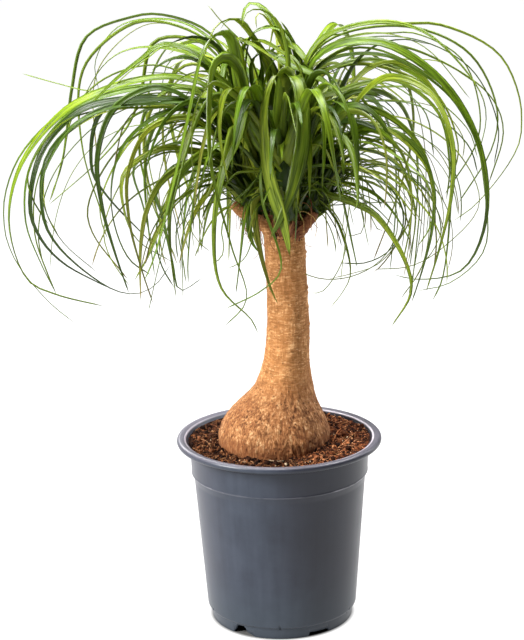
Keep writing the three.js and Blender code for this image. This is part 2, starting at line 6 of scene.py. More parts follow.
import bmesh
import bpy
import numpy as np
from mathutils import Matrix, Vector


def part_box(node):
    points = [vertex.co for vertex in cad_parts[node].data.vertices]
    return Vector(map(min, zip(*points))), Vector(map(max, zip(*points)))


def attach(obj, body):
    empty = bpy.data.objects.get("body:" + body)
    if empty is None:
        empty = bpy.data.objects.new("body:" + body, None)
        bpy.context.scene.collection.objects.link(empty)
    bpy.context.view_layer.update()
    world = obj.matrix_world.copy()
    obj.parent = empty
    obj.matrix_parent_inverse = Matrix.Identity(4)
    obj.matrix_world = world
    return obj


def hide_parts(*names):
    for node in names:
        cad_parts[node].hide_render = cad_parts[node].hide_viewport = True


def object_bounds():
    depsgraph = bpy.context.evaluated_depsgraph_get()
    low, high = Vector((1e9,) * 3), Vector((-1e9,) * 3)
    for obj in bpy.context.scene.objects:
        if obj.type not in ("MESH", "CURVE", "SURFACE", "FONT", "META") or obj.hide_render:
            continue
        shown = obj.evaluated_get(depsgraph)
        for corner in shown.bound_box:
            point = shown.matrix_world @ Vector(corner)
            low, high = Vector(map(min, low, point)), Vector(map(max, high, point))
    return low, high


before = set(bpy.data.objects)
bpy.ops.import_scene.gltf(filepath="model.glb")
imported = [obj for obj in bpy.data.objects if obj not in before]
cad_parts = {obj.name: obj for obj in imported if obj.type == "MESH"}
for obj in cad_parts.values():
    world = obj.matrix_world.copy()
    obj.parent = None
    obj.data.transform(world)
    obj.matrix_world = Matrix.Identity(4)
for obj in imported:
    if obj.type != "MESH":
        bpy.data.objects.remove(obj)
cad_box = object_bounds()

MM = 0.001
POT_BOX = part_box("pot")
AXIS = np.array([(POT_BOX[0][0] + POT_BOX[1][0]) / 2, (POT_BOX[0][1] + POT_BOX[1][1]) / 2, 0.0])
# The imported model's box in the plant's own millimetres, a hair inside
LIMITS = [(np.array(cad_box[0]) - AXIS) / MM + 0.15, (np.array(cad_box[1]) - AXIS) / MM - 0.15]

# The camera stands where the photograph was taken from
CAMERA_DISTANCE = 1800
CAMERA_HEIGHT = 797
CAMERA_PITCH = 14.96
CAMERA_YAW = 0.48
CAMERA_ROLL = -1.18
CAMERA_LENS = 103.85
SENSOR = 36
CLIP_END = 100

# Floor, in metres: how far it reaches and how little it lies under the pot
FLOOR_REACH = 40
FLOOR_DROP = 0.0002
FLOOR_GLOW = 1.0

# Soft lights, as [name, place, target, width and height, power, colour]
LIGHTS = [
    ["key", [-1900, -1050, 1500], [0, 0, 330], [900, 1100], 140, [1.0, 0.985, 0.95]],
    ["edge", [1500, 900, 700], [0, 0, 300], [500, 1300], 9, [0.95, 0.98, 1.0]],
    ["fill", [1000, 500, 2000], [0, 0, 330], [900, 900], 54, [1, 1, 1]],
    ["top", [-250, 0, 2000], [0, 0, 500], [900, 900], 78, [1, 1, 1]],
    ["back", [-700, 1700, 1300], [0, 0, 480], [1000, 800], 24, [1, 1, 1]],
]

# Sky: its glow near the horizon grows towards the bright side, and it fades to a dim strength above.
# Heights are the upward parts of unit directions. The glow reaches higher behind the plant.
BRIGHT_SIDE = (-0.77, 0.64, 0)
SIDE_RANGE = (-0.7, 0.5)
SIDE_GLOW = (0.03, 1.1)
BACKDROP_START = 0.5
BACKDROP_RISE = 0.15
FADE_HEIGHTS = (0.14, 0.34)
SKY_STRENGTH = 0.25
# White at full strength up to the first height all round
HORIZON_HEIGHTS = (0.05, 0.1)

# Clearance between the trunk and the soil
GAP = 0.3

# Noise repeats after this many cells each way
NOISE_SIZE = 32
NOISE_SHAPE = (NOISE_SIZE, NOISE_SIZE, NOISE_SIZE, 3)

# Pot: a thin moulded wall on a ring foot, with a collar and a rolled rim
POT_HEIGHT = 194
# Steps round its wall, and half of the close pair at each corner, in degrees
POT_STEP = 1.25
CORNER_STEP = 0.12
WALL = 1.6
RIM_RADIUS = 105
RIM_ROLL = 3.3
RIM_INNER_RADIUS = 96
FUNNEL_RADIUS = 91.3
FUNNEL_DEPTH = 7
COLLAR_TOP_RADIUS = 91.7
COLLAR_FOOT_RADIUS = 90.5
COLLAR_FOOT_Z = 158
BODY_TOP_RADIUS = 87.9
BODY_TOP_Z = 150
BODY_FOOT_RADIUS = 77.4
BODY_FOOT_Z = 13.4
FOOT_TOP_RADIUS = 74.6
FOOT_RADIUS = 73
FOOT_INNER_RADIUS = 70.6
FOOT_TOP_Z = 11.8
FLOOR_BOTTOM_Z = 10
FLOOR_TOP_Z = 12
FLOOR_RADIUS = 72.4
WALL_FOOT_Z = 15.2
# Openings in the foot ring, as [angle, outline of (along the ring, height) pairs]; each has a twin opposite
FOOT_OPENINGS = [
    [234, [[-8.9, 0.6], [-3, 9.5], [5.3, 9.6], [8.4, 4.2], [17.5, 0]]],
    [300.5, [[-12.2, 0], [-10.6, 4.4], [11, 3.8], [12.6, 0]]],
]
NICK_ANGLES = [23, 88, 153, 203, 268, 333]
NICK_DEPTH = 1.3
NICK_HALF_ANGLE = 0.75
NICK_CORNER = 0.7
# Rings this near the foot's edge are raised over its openings, keeping this share of their spacing
FOOT_EDGE = 2
FOOT_SQUEEZE = 0.1
DRAIN_COUNT = 8
DRAIN_RADIUS = 4.5
DRAIN_CIRCLE = 52
DRAIN_SIDES = 40
DRAIN_REACH = 4

# Soil
SOIL_EDGE_Z = 190
SOIL_RISE = -2.5
SOIL_MOUND = 6
SOIL_RADIUS = 93.2
# Heaps and hollows of the soil, as [x, y, width, height]
SOIL_HEAPS = [[70, 10, 18, 2.4], [0, -76, 26, -4.6], [-66, 20, 20, 0.6], [40, 78, 30, 1.2]]
# Wood chips and pale crumbs that lie near the trunk, as [x, y]
WOOD_CHIPS = [[-57.9, -36.1], [-55.7, -40.3], [-42.7, -36.9], [24.8, -48.5], [27, -44.5], [-86.7, 28.2]]
PALE_CRUMBS = [
    [-39.4, -63.2], [-36.3, -66.3], [-34.4, -63.4], [6.4, -68.6], [30.2, -66.9], [-20.5, -65.2], [-4.5, -66],
]
# Roots and long fibres, as [thickness, tint, points of the plant]
ROOTS = [
    [0.9, 0.74, [[-8.1, -56.4, 210], [-7.2, -58.4, 202], [-11.3, -59.4, 195], [-16.5, -60, 187]]],
    [0.6, 0.74, [[9.7, -57, 199], [13.0, -58, 194], [15.5, -59, 188]]],
    [0.8, 0.9, [[-10.5, -63, 188.5], [-3.5, -65, 188], [4.4, -64, 188]]],
    [1.1, 0.66, [[50.4, -29.1, 189], [54.7, -17.4, 192], [60.8, 6.4, 194.5], [67.7, 21.8, 194],
        [74.8, 32.9, 192], [79, 38, 189]]],
    [0.6, 0.8, [[58, -36, 190], [66, -24, 193], [74, -8, 194], [80, 8, 192], [84, 12, 190]]],
    [0.5, 0.85, [[-84, 6, 189], [-76, -8, 192], [-70, -26, 192], [-72, -36, 189]]],
]
SOIL_SEGMENTS = 320
SOIL_ROWS = 110
SOIL_WALL_Z = [186.7, 182, 160, 151, 80, 15.6, 12.4]
# Height at which the soil meets the trunk, and heights of the rings of its hollow below
SOIL_CONTACT_Z = 188
SOIL_HOLLOW_Z = [181, 173, 168, 164]
# Crumbs, as [how many or where, smoothness, sizes, least width to length, tints]
SOIL_CRUMBS = [[1300, 1, (0.5, 1.5), 0.5, (0.0, 0.66)], [190, 2, (1.3, 3.2), 0.6, (0.05, 0.6)]]
SOIL_CHIPS = [
    [80, 1, (0.8, 2.2), 0.25, (0.66, 0.86)], [WOOD_CHIPS, 1, (1.6, 2.4), 0.35, (0.76, 0.84)],
    [46, 1, (0.4, 1.0), 0.6, (0.88, 1.0)], [PALE_CRUMBS, 1, (0.9, 1.8), 0.6, (0.86, 1.0)],
]
CRUMB_SEED = 71
FIBRES = 1250
FIBRE_STEPS = 6
FIBRE_LENGTHS = [4, 15]
FIBRE_RADII = [0.18, 0.45]
FIBRE_SEED = 83

# Trunk: [height, left edge, right edge] of its outline seen from the front
TRUNK_OUTLINE = [
    [164, -22, 14], [168, -42, 33], [174, -53, 44], [182, -59.5, 50.5], [191, -61.6, 52.4],
    [199, -61.3, 52], [210, -57, 49], [221, -49.5, 44.5], [230, -41, 40.2], [238, -32.5, 37.8],
    [246, -25.5, 36.2], [257, -20, 34.6], [270, -15.6, 33], [285, -12.6, 32.6], [311, -10.6, 32.8],
    [340, -9.9, 31.5], [378, -10.8, 30], [400, -11.4, 29], [408, -10, 27.6], [411.5, -5, 23],
]
TRUNK_SEGMENTS = 300
TRUNK_LUMP = 0.014
SCAR_SPACING = 3.3
# Heights between which the caudex's cork gives way to ring scars
CAUDEX_TOP = [226, 262]
# Height from which the bark has its full relief
RELIEF_FULL_Z = 178
# Rows of points below and above the waist
TRUNK_WAIST_Z = 240
TRUNK_ROWS = [112, 205]
# Small ledges of bark, as [height, angle, size]
BARK_FLAKES = [
    [386, -4, 1.5], [381, 3, 0.8], [350, -8, 1.3], [344, 2, 0.9], [330, -3, 0.6], [312, -6, 0.7],
    [296, 4, 0.6], [372, 184, 0.6], [331, 176, 0.5], [402, -20, 1.1], [398, 12, 0.9],
]
FLAKE_RADIUS = 2.6

# Short side branches under the crown, as [start radius, end radius, redness, points of the plant]
BRANCHES = [
    [7, 4.5, 0.15, [[0, -10, 402], [-12, -16, 418], [-24, -20, 426], [-33, -21, 432], [-41, -21, 440]]],
    [7.5, 5, 1.0, [[18, -6, 402], [26, -11, 412], [33, -13, 420], [39, -13, 429]]],
]
BRANCH_SIDES = 40
BRANCH_ROUGHNESS = 0.14

# Crown: four heads round the top of the trunk, each on a short branch stub
CROWN_X = 9.5
HEAD_LEAN = 28
HEAD_REACH = 21
HEAD_Z = 424
HEAD_HALF_SECTOR = 45
STUB_LENGTH = 28
STUB_RADIUS = 9
STUB_SIDES = 64
STUB_ROWS = 34
STUB_SEED = 40
# [distance along the head's axis, radius] of the core of leaf bases
CORE_OUTLINE = [[0, 8], [8, 12.5], [28, 15], [50, 11.5], [66, 6], [74, 0]]
CORE_SIDES = 40
CORE_ROWS = 28
# Distances along it of the first and last rings and of its ends, and how far in its ridges start
CORE_SPAN = [0.4, 72]
CORE_ENDS = [0.3, 73]
CORE_INSET = 1.2
# Short leaf bases round the core, with ranges of where they stand along it and of their sizes
SHEATHS = 26
SHEATH_FEET = [-3, 34]
SHEATH_LENGTHS = [26, 54]
SHEATH_SPREADS = [4, 26]
SHEATH_WIDTHS = [4, 8]
SHEATH_SEED = 900
# Dry shreds and threads at the top of the trunk
SHREDS = 95
SHRED_Z = [399, 410]
SHRED_LENGTHS = [6, 20]
SHRED_WIDTHS = [1.6, 4.6]
SHRED_SEED = 97
TENDRILS = 34
TENDRIL_REACH = [16, 34]
TENDRIL_Z = [424, 446]
TENDRIL_STEPS = 11
TENDRIL_RADII = [0.35, 0.6]
# Where leaves start along their head's axis, in golden steps
ROOT_NEAR = 14
ROOT_FAR = 60
GOLDEN_FRACTION = 0.618034
SECTOR_CLEARANCE = 0.7

# Blade: a folded strap of eight points round, thin at its edges
BLADE_STEP = 8.5
BLADE_MIN_STEPS = 14
BLADE_MAX_STEPS = 46
BLADE_THICKNESS = 0.55
BLADE_TIP_WIDTH = 1.5
# Share of its length over which its root is flared, and of its width that its tip loses
FLARE_REACH = 0.15
TIP_TAPER = 0.85
# Its points run over the top from one edge to the other and back underneath
TOP_ACROSS = [1, 0.5, 0, -0.5, -1]
UNDER_ACROSS = [-0.5, 0, 0.5]
ACROSS = np.array(TOP_ACROSS + UNDER_ACROSS)
UNDER = np.array([0, 0, 0, 0, 0, 1, 1, 1])
THICKNESS_SHARE = np.array([0, 0, 0, 0, 0, 0.8, 1, 0.8])
# What a blade's look is where it doesn't say: turns are the shares of its length between which it rolls
PLAIN_LOOK = {"flare": 0.5, "hold": 0.3, "turns": (0.08, 0.5), "pale": 0.0}
# Thinner leaves beside others, by the ranges of how they are turned, sized, dropped, cut and narrowed
COUSIN_TURNS = [-13, 13]
COUSIN_SIZES = [0.78, 1.02]
COUSIN_RISES = [0.9, 1.02]
COUSIN_DROPS = [-26, 8]
COUSIN_CUTS = [0.62, 1.0]
COUSIN_WIDTHS = [0.25, 0.55]
# Height that the finer leaves hang down to
CROWN_HEM = [345, 400]
# Depth inside the model's box over which a leaf that would leave it bends back
EASE_DEPTH = 3
SPLINE_SAMPLES = 20

# Leaves followed one by one. A route starts at the head's core.
# Its points are [reach from the crown's axis, height, sideways] in the leaf's own direction.
LEFT_ROUTES = [
    [187, 6, [[65, 544], [95, 555], [139, 557], [178, 550], [215, 534], [259, 491], [277, 437],
        [269, 393], [236, 345], [211, 322]]],
    [192, 10, [[68, 549], [101, 564], [140, 564], [179, 554], [214, 537], [257, 489], [272, 431],
        [257, 375], [231, 359], [183, 343]]],
    [196, 6, [[73, 545], [122, 557], [171, 553], [210, 538], [250, 491], [258, 438], [246, 396],
        [232, 363]]],
    [201, 9, [[80, 536], [125, 548], [170, 549], [205, 542], [242, 508], [257, 454], [249, 425],
        [229, 399], [185, 369]]],
    [207, 5, [[99, 543], [151, 549], [197, 543], [245, 507], [253, 452], [240, 421], [187, 372],
        [161, 364], [142, 370], [124, 390]]],
    [212, 5, [[93, 539], [147, 548], [194, 547], [229, 534], [262, 487], [259, 459], [244, 429],
        [210, 395]]],
    [176, 3.5, [[76, 541], [120, 552], [160, 551], [190, 549], [219, 556], [257, 567]]],
    [172, 6.5, [[42, 538], [55, 582], [75, 607], [121, 622], [149, 619], [194, 600], [211, 548],
        [217, 513], [225, 473], [239, 437]]],
    [164, 4, [[61, 578], [88, 602], [145, 613], [197, 580], [212, 552], [212, 483], [194, 416]]],
    [158, 5, [[45, 537], [59, 576], [86, 603], [119, 614], [176, 606], [204, 570], [201, 539]]],
    [183, 6, [[42, 520], [59, 559], [84, 583], [139, 593], [169, 581], [196, 540], [199, 522]]],
    [199, 8, [[46, 522], [62, 557], [83, 586], [120, 599], [142, 586], [168, 568], [199, 540]]],
    [168, 5, [[43, 538], [60, 575], [86, 596], [128, 594], [144, 542], [158, 511], [189, 476],
        [246, 428]]],
    [190, 8, [[45, 501], [82, 530], [130, 546], [177, 535], [189, 480], [178, 456], [133, 402]]],
    [186, 6, [[43, 500], [76, 529], [115, 536], [145, 528], [184, 486]]],
    [203, 8, [[46, 498], [82, 527], [115, 537], [165, 507], [180, 454], [165, 398], [141, 377]]],
    [178, 4, [[43, 494], [77, 522], [116, 522], [151, 499], [183, 441], [183, 419], [177, 400]]],
    [180, 3.5, [[77, 516], [121, 515], [163, 492], [195, 436], [192, 410], [158, 360]]],
    [200, 8, [[71, 488], [96, 496], [127, 499], [163, 478], [164, 441], [153, 413], [118, 387]]],
    [194, 5, [[69, 493], [103, 502], [149, 482], [142, 443], [134, 400]]],
    [208, 6, [[68, 480], [94, 488], [121, 483], [139, 460], [133, 438], [124, 391], [117, 362],
        [91, 372]]],
    [170, 4, [[62, 476], [84, 478], [105, 468], [114, 447], [114, 431]]],
    [206, 7, [[45, 493], [62, 534], [80, 552], [91, 534], [116, 475], [143, 407], [163, 376]]],
    [150, 6, [[24, 517], [24, 576], [33, 603], [43, 616, 3], [54, 615, 12], [60, 606, 16]]],
]
RIGHT_ROUTES = [
    [-8, 7.5, [[16, 535], [22, 571], [38, 597], [62, 608], [98, 614], [126, 609], [151, 595],
        [192, 546], [198, 521], [191, 485]]],
    [4, 6, [[14, 530], [24, 575], [50, 601], [86, 610], [121, 609], [155, 607], [214, 576],
        [237, 519], [233, 484], [192, 428], [168, 411]]],
    [12, 5, [[16, 535], [26, 575], [55, 598], [129, 604], [191, 575], [220, 519], [216, 481],
        [180, 424]]],
    [20, 4, [[18, 530], [32, 564], [66, 585], [109, 587], [158, 572], [225, 528], [241, 491],
        [225, 436]]],
    [-19, 11, [[18, 525], [28, 570], [50, 590], [81, 597], [111, 593], [164, 556], [197, 498],
        [203, 427], [180, 378], [134, 366], [110, 370]]],
    [-14, 8, [[18, 520], [28, 562], [53, 584], [87, 590], [145, 564], [182, 526], [199, 454],
        [199, 395], [166, 361], [132, 351]]],
    [14, 6, [[24, 561], [49, 577], [84, 579], [126, 572], [162, 568], [203, 543]]],
    [-5, 6.5, [[29, 554], [61, 573], [95, 576], [145, 549], [163, 498], [164, 433], [156, 357],
        [146, 335]]],
    [9, 7, [[25, 557], [57, 569], [95, 568], [154, 538], [177, 485], [174, 461]]],
    [-27, 7, [[32, 536], [60, 549], [93, 560], [120, 563], [163, 535], [175, 485], [172, 451]]],
    [1, 5.5, [[32, 534], [61, 545], [100, 549], [134, 545], [182, 505], [192, 475]]],
    [24, 3.5, [[38, 524], [73, 529], [113, 530], [176, 515], [204, 481], [202, 461]]],
    [-23, 9, [[34, 520], [65, 533], [99, 532], [141, 500], [156, 446], [151, 420], [138, 400]]],
    [-31, 7, [[39, 513], [75, 521], [112, 518], [155, 485], [167, 439]]],
    [6, 4, [[37, 513], [76, 518], [121, 516], [172, 483], [197, 427], [162, 385], [128, 366],
        [88, 364]]],
    [-36, 10, [[44, 495], [81, 504], [115, 501], [164, 473], [171, 458]]],
    [-28, 9, [[45, 474], [79, 476], [109, 467], [144, 430]]],
    [-17, 7, [[39, 500], [78, 507], [113, 496], [136, 444], [135, 412], [128, 344]]],
    [-10, 7, [[38, 487], [78, 490], [111, 478], [130, 427], [123, 376]]],
    [-33, 8, [[47, 451], [78, 444], [105, 433], [137, 391], [143, 362], [121, 324]]],
    [-4, 4.5, [[46, 481], [87, 476], [118, 454], [126, 426], [95, 375], [65, 363], [43, 358]]],
    [16, 4, [[43, 508], [85, 507], [145, 457], [154, 422], [146, 360], [122, 326]]],
    [-38, 4, [[42, 445], [61, 433], [74, 413], [72, 389], [45, 351], [30, 348]]],
    [-26, 4.5, [[39, 442], [58, 419], [71, 370], [63, 351], [48, 332]]],
    [10, 3.5, [[41, 447], [72, 435], [81, 412], [77, 400], [62, 399]]],
    [-12, 4, [[40, 437], [71, 437], [101, 439], [117, 439]]],
]
FRONT_ROUTES = [
    [236, 10, [[45, 494, -12], [66, 556, -5], [82, 602], [96, 613, 3], [115, 611], [131, 597],
        [156, 540], [183, 471, -3], [203, 416, -10], [213, 398, -14]]],
    [250, 11, [[35, 484, -12], [55, 541, -16], [73, 580, -18], [87, 590, -24], [100, 585, -30],
        [111, 562, -31], [128, 495, -25], [132, 421, -6], [130, 369, 7], [131, 341, -16]]],
    [240, 9, [[41, 479, -12], [61, 519, -17], [81, 540, -20], [99, 539, -24], [124, 478, -31],
        [140, 401, -38], [142, 379, -43]]],
    [246, 7, [[38, 476, -10], [54, 507, -16], [71, 522, -20], [84, 502, -22], [103, 429, -29],
        [106, 372, -21], [92, 339, 4], [88, 324, 9]]],
    [243, 7, [[40, 484, -12], [69, 542, -20], [93, 554, -28], [110, 546, -31], [138, 499, -36],
        [166, 429, -44], [184, 374, -57], [188, 361, -61]]],
    [262, 12, [[22, 490, 1], [35, 539, 9], [49, 568, 12], [60, 574, 6], [73, 566], [86, 541, -5],
        [101, 486], [107, 432, 15], [108, 407, 19]]],
    [279, 12, [[21, 490, -4], [35, 534, -7], [50, 568, -3], [63, 568, 2], [78, 551, 5],
        [92, 513, 3], [103, 462, -12], [106, 441, -22], [104, 424, -31]]],
    [290, 9, [[27, 483, -1], [46, 530, 4], [63, 552, 9], [76, 550, 10], [99, 504, 4], [106, 481]]],
    [256, 8, [[38, 456, -14], [45, 444, -20], [51, 404, -14], [52, 362, -3], [50, 345, 4]]],
    [268, 3, [[48, 493, -13], [71, 487, -19], [91, 457, -18], [106, 393, -1], [113, 375, -19],
        [116, 358, -54]]],
    [300, 9, [[30, 474, -4], [53, 516], [72, 535], [90, 528, 3], [105, 503, 2], [114, 477, -2]]],
    [306, 7, [[32, 474, -7], [59, 507, -4], [85, 517, -3], [108, 505, -2], [127, 454, -9],
        [127, 448, -15]]],
    [258, 10, [[21, 468, -3], [38, 515, -5], [51, 534, -10], [65, 536, -16], [87, 494, -24]]],
    [284, 9, [[22, 468, -5], [39, 505, -1], [54, 523, 3], [70, 509, 6], [85, 455, 3]]],
    [264, 6, [[40, 460, -11], [48, 468, -13], [62, 473, -19], [75, 463, -27], [84, 456, -36]]],
    [262, 8, [[20, 500, 2], [28, 552, 8], [36, 589, 10], [43, 617, 3], [49, 629, -8],
        [56, 632, -18], [65, 628, -25], [73, 615, -28]]],
]


# More followed leaves, which only this scene has, as [width, roll, tint, points of the plant]
LEFT_TRACED = [
    [3.0, 35, 0.5, [[-35, 10, 508], [-67, 14, 550], [-110, 18, 572], [-152, 20, 566], [-183, 22, 547],
        [-200, 22, 521], [-209, 22, 489], [-221, 20, 449], [-227, 20, 436]]],
]
RIGHT_TRACED = [
    [2.4, 30, 0.6, [[25, 10, 447], [55, 16, 449], [78, 20, 446], [91, 22, 431], [97, 22, 415],
        [104, 22, 402], [110, 22, 400]]],
]
FRONT_TRACED = [
    [6.5, 12, 0.3, [[-18, -18, 452], [-23, -32, 440], [-25, -40, 428], [-25, -43, 416], [-22, -45, 405],
        [-16, -46, 396]]],
    [13, 8, 0.95, [[-12, -18, 461], [-18, -28, 479], [-26, -38, 501], [-36, -46, 527], [-44, -50, 545],
        [-50, -56, 553], [-56, -60, 548]]],
    [10, -10, 0.9, [[-11, -16, 460], [-16, -24, 479], [-21, -30, 500], [-25, -33, 520], [-29, -34, 539],
        [-30, -38, 554], [-35, -44, 561]]],
    [14, 6, 0.5, [[13, -14, 455], [23, -24, 483], [33, -32, 513], [40, -36, 538], [44, -40, 555],
        [51, -46, 561], [60, -52, 552]]],
    [13, -8, 0.62, [[19, -4, 455], [34, -2, 491], [50, 0, 525], [63, 4, 551], [72, 8, 569],
        [82, 10, 578], [94, 12, 578]]],
    [5.5, 4, 0.5, [[21, -36, 473], [33, -52, 517], [43, -60, 545], [47, -64, 549], [48, -67, 536],
        [47, -70, 500], [45, -72, 460]]],
    [10, 12, 0.3, [[-4, -40, 467], [-2, -48, 490], [3, -54, 512], [9, -58, 530]]],
    [9, 4, 0.45, [[-12, -34, 485], [-15, -50, 525], [-21, -62, 544], [-26, -70, 538], [-33, -78, 514],
        [-43, -84, 495], [-50, -88, 475], [-54, -90, 452], [-59, -92, 426]]],
    [10, -12, 0.25, [[-20, -14, 470], [-27, -20, 518], [-28, -24, 542], [-30, -28, 562], [-31, -32, 576],
        [-34, -38, 586], [-39, -44, 588], [-43, -50, 585], [-46, -54, 577], [-48, -58, 560],
        [-49, -60, 536]]],
    [12, 10, 0.62, [[-17, -20, 493], [-25, -30, 529], [-29, -34, 554], [-30, -38, 573], [-31, -44, 591],
        [-35, -52, 605], [-43, -60, 611]]],
    [9, 0, 0.35, [[-8, -20, 461], [-21, -40, 487], [-34, -52, 503], [-45, -60, 509], [-57, -66, 503],
        [-65, -70, 489], [-69, -72, 468]]],
    [11, 6, 0.2, [[11, -22, 461], [12, -30, 494], [14, -36, 526], [18, -40, 552], [23, -46, 560],
        [30, -54, 549], [34, -60, 523], [35, -64, 490]]],
    [10, -4, 0.25, [[-6, -22, 459], [-10, -26, 494], [-11, -30, 526], [-10, -34, 551], [-14, -40, 566],
        [-20, -46, 559]]],
    [2.4, 25, 0.7, [[-30, -20, 453], [-58, -44, 472], [-81, -60, 468], [-89, -68, 448], [-83, -70, 429],
        [-72, -70, 411], [-61, -68, 402]]],
    [2.2, 25, 0.5, [[-24, -20, 447], [-38, -40, 450], [-47, -52, 438], [-52, -58, 420], [-50, -60, 407],
        [-53, -60, 395], [-62, -58, 389]]],
    [2.0, 30, 0.7, [[-22, -20, 443], [-28, -40, 444], [-31, -46, 433], [-32, -46, 410]]],
    [2.8, 30, 0.6, [[-16, -34, 444], [-19, -48, 427], [-23, -52, 410], [-29, -54, 395], [-36, -54, 388],
        [-47, -54, 383]]],
    [2.2, 20, 0.4, [[-11, -70, 501], [-11, -84, 488], [-21, -92, 473], [-33, -96, 463], [-42, -98, 455],
        [-57, -100, 449]]],
]
BACK_TRACED = [
    [11, -58, 0.45, [[10, 18, 480], [14, 20, 523], [18, 12, 551], [17, 10, 570], [12, 8, 592], [5, 10, 606],
        [0, 14, 616], [-7, 18, 625], [-13, 22, 629], [-18, 24, 631], [-23, 22, 629], [-26, 18, 625],
        [-28, 14, 618], [-29, 10, 611]]],
    [6.5, 34, 0.35, [[-16, 6, 490], [-26, 0, 544], [-26, -4, 569], [-24, -8, 589], [-21, -10, 600],
        [-15, -12, 607], [-7, -16, 610], [1, -20, 611], [9, -24, 608], [15, -28, 602], [20, -32, 593],
        [25, -36, 585]]],
    [7, 34, 0.6, [[-24, 6, 495], [-44, 2, 545], [-45, -4, 579], [-41, -8, 592], [-34, -12, 600],
        [-26, -16, 598], [-15, -20, 593], [-4, -24, 586], [7, -28, 579], [14, -30, 569]]],
    [7, 30, 0.45, [[-10, 6, 480], [-11, 2, 529], [-8, 0, 553], [-4, -4, 570], [3, -8, 580], [12, -12, 585],
        [20, -18, 582], [27, -24, 574], [30, -28, 563]]],
    [7.5, 34, 0.3, [[20, 12, 480], [27, 10, 527], [29, 6, 549], [33, 2, 569], [39, -2, 585], [47, -6, 595],
        [56, -8, 601], [67, -10, 602], [77, -12, 600]]],
    [7, 36, 0.4, [[38, 8, 480], [56, 0, 520], [63, -10, 539], [71, -20, 548], [80, -28, 549], [87, -34, 542],
        [91, -38, 529]]],
    [9, 14, 0.7, [[12, 16, 536], [0, 4, 571], [-13, -4, 592], [-25, -12, 610], [-34, -18, 619],
        [-45, -24, 619], [-54, -30, 613], [-61, -36, 598], [-66, -40, 582]]],
    [6, 30, 0.3, [[27, 24, 550], [23, 18, 581], [14, 12, 601], [1, 6, 609], [-11, 0, 608],
        [-21, -6, 602], [-27, -12, 589], [-29, -16, 572]]],
    [7, 24, 0.4, [[31, 30, 550], [27, 28, 574], [20, 26, 592], [14, 24, 605], [9, 20, 613]]],
    [4, 10, 0.85, [[17, 8, 572], [6, 2, 598], [-4, -3, 617], [-11, -8, 624], [-15, -12, 620],
        [-14, -14, 609]]],
    [10, 8, 0.35, [[-11, 30, 524], [-20, 22, 559], [-18, 14, 578], [-9, 6, 585], [5, -4, 580],
        [19, -12, 573], [38, -20, 566], [57, -28, 553], [70, -32, 538], [76, -34, 519]]],
    [12, 10, 0.5, [[-9, 34, 524], [-10, 30, 558], [-4, 24, 578], [6, 16, 589], [18, 8, 591],
        [28, 0, 583], [38, -6, 568], [46, -10, 549]]],
    [11, -6, 0.6, [[-23, 10, 534], [-29, 4, 570], [-29, -2, 588], [-21, -8, 597], [-8, -14, 597],
        [5, -18, 590], [18, -22, 581], [27, -26, 569], [32, -28, 552]]],
    [11, 12, 0.66, [[-1, 20, 526], [-3, 18, 554], [-8, 14, 576], [-17, 10, 590], [-28, 4, 597],
        [-39, -2, 594], [-47, -6, 583]]],
    [9, 8, 0.8, [[3, 36, 523], [7, 36, 553], [12, 34, 575], [18, 32, 586], [24, 28, 582], [29, 24, 568]]],
    [10, -14, 0.5, [[9, 34, 521], [1, 36, 551], [-6, 36, 575], [-14, 34, 589], [-23, 30, 596],
        [-33, 26, 591]]],
    [3, 20, 0.75, [[-10, 0, 548], [-21, -4, 580], [-31, -6, 598], [-38, -8, 606], [-50, -10, 619],
        [-61, -12, 634]]],
]

# Kinds of leaf placed by rule, as the ranges of their [launch angle, length, share of the length at
# the middle of the bend, hanging angle, sharpness of the bend, width].
# A head's flank is the range of angles that they turn off its own direction, to either side.
LONG_LEAF = [[54, 74], [330, 415], [0.4, 0.52], [-128, -92], [3.2, 5], [5, 9]]
MIDDLE_LEAF = [[35, 70], [230, 330], [0.3, 0.45], [-120, -80], [3, 4.5], [5, 9]]
SHORT_LEAF = [[5, 40], [110, 190], [0.25, 0.5], [-100, -50], [2.5, 4], [4, 6]]
UPRIGHT_LEAF = [[62, 84], [190, 270], [0.5, 0.62], [-105, -60], [4, 6], [6, 11]]
# Finer leaves that only this scene adds: broad ones in the heart, a skirt below, and thin wisps
HEART_LEAF = [[64, 88], [110, 215], [0.55, 0.8], [-80, -10], [3, 6], [8, 13]]
TOP_LEAF = [[66, 92], [180, 235], [0.55, 0.72], [-90, -30], [3, 5], [6.5, 10]]
SKIRT_LEAF = [[0, 45], [40, 100], [0.3, 0.6], [-75, -20], [2, 4], [2, 4.5]]
WISP_LEAF = [[25, 72], [170, 360], [0.28, 0.5], [-135, -80], [1.6, 3], [1.9, 3.2]]
CURL_LEAF = [[5, 55], [190, 320], [0.35, 0.55], [-210, -125], [0.9, 1.8], [1.9, 3.4]]
EXTRA_FLANK = [0, 44]
FILL_DRIFT = 0.1
FILL_POINTS = 9
FILL_SUBSTEPS = 8

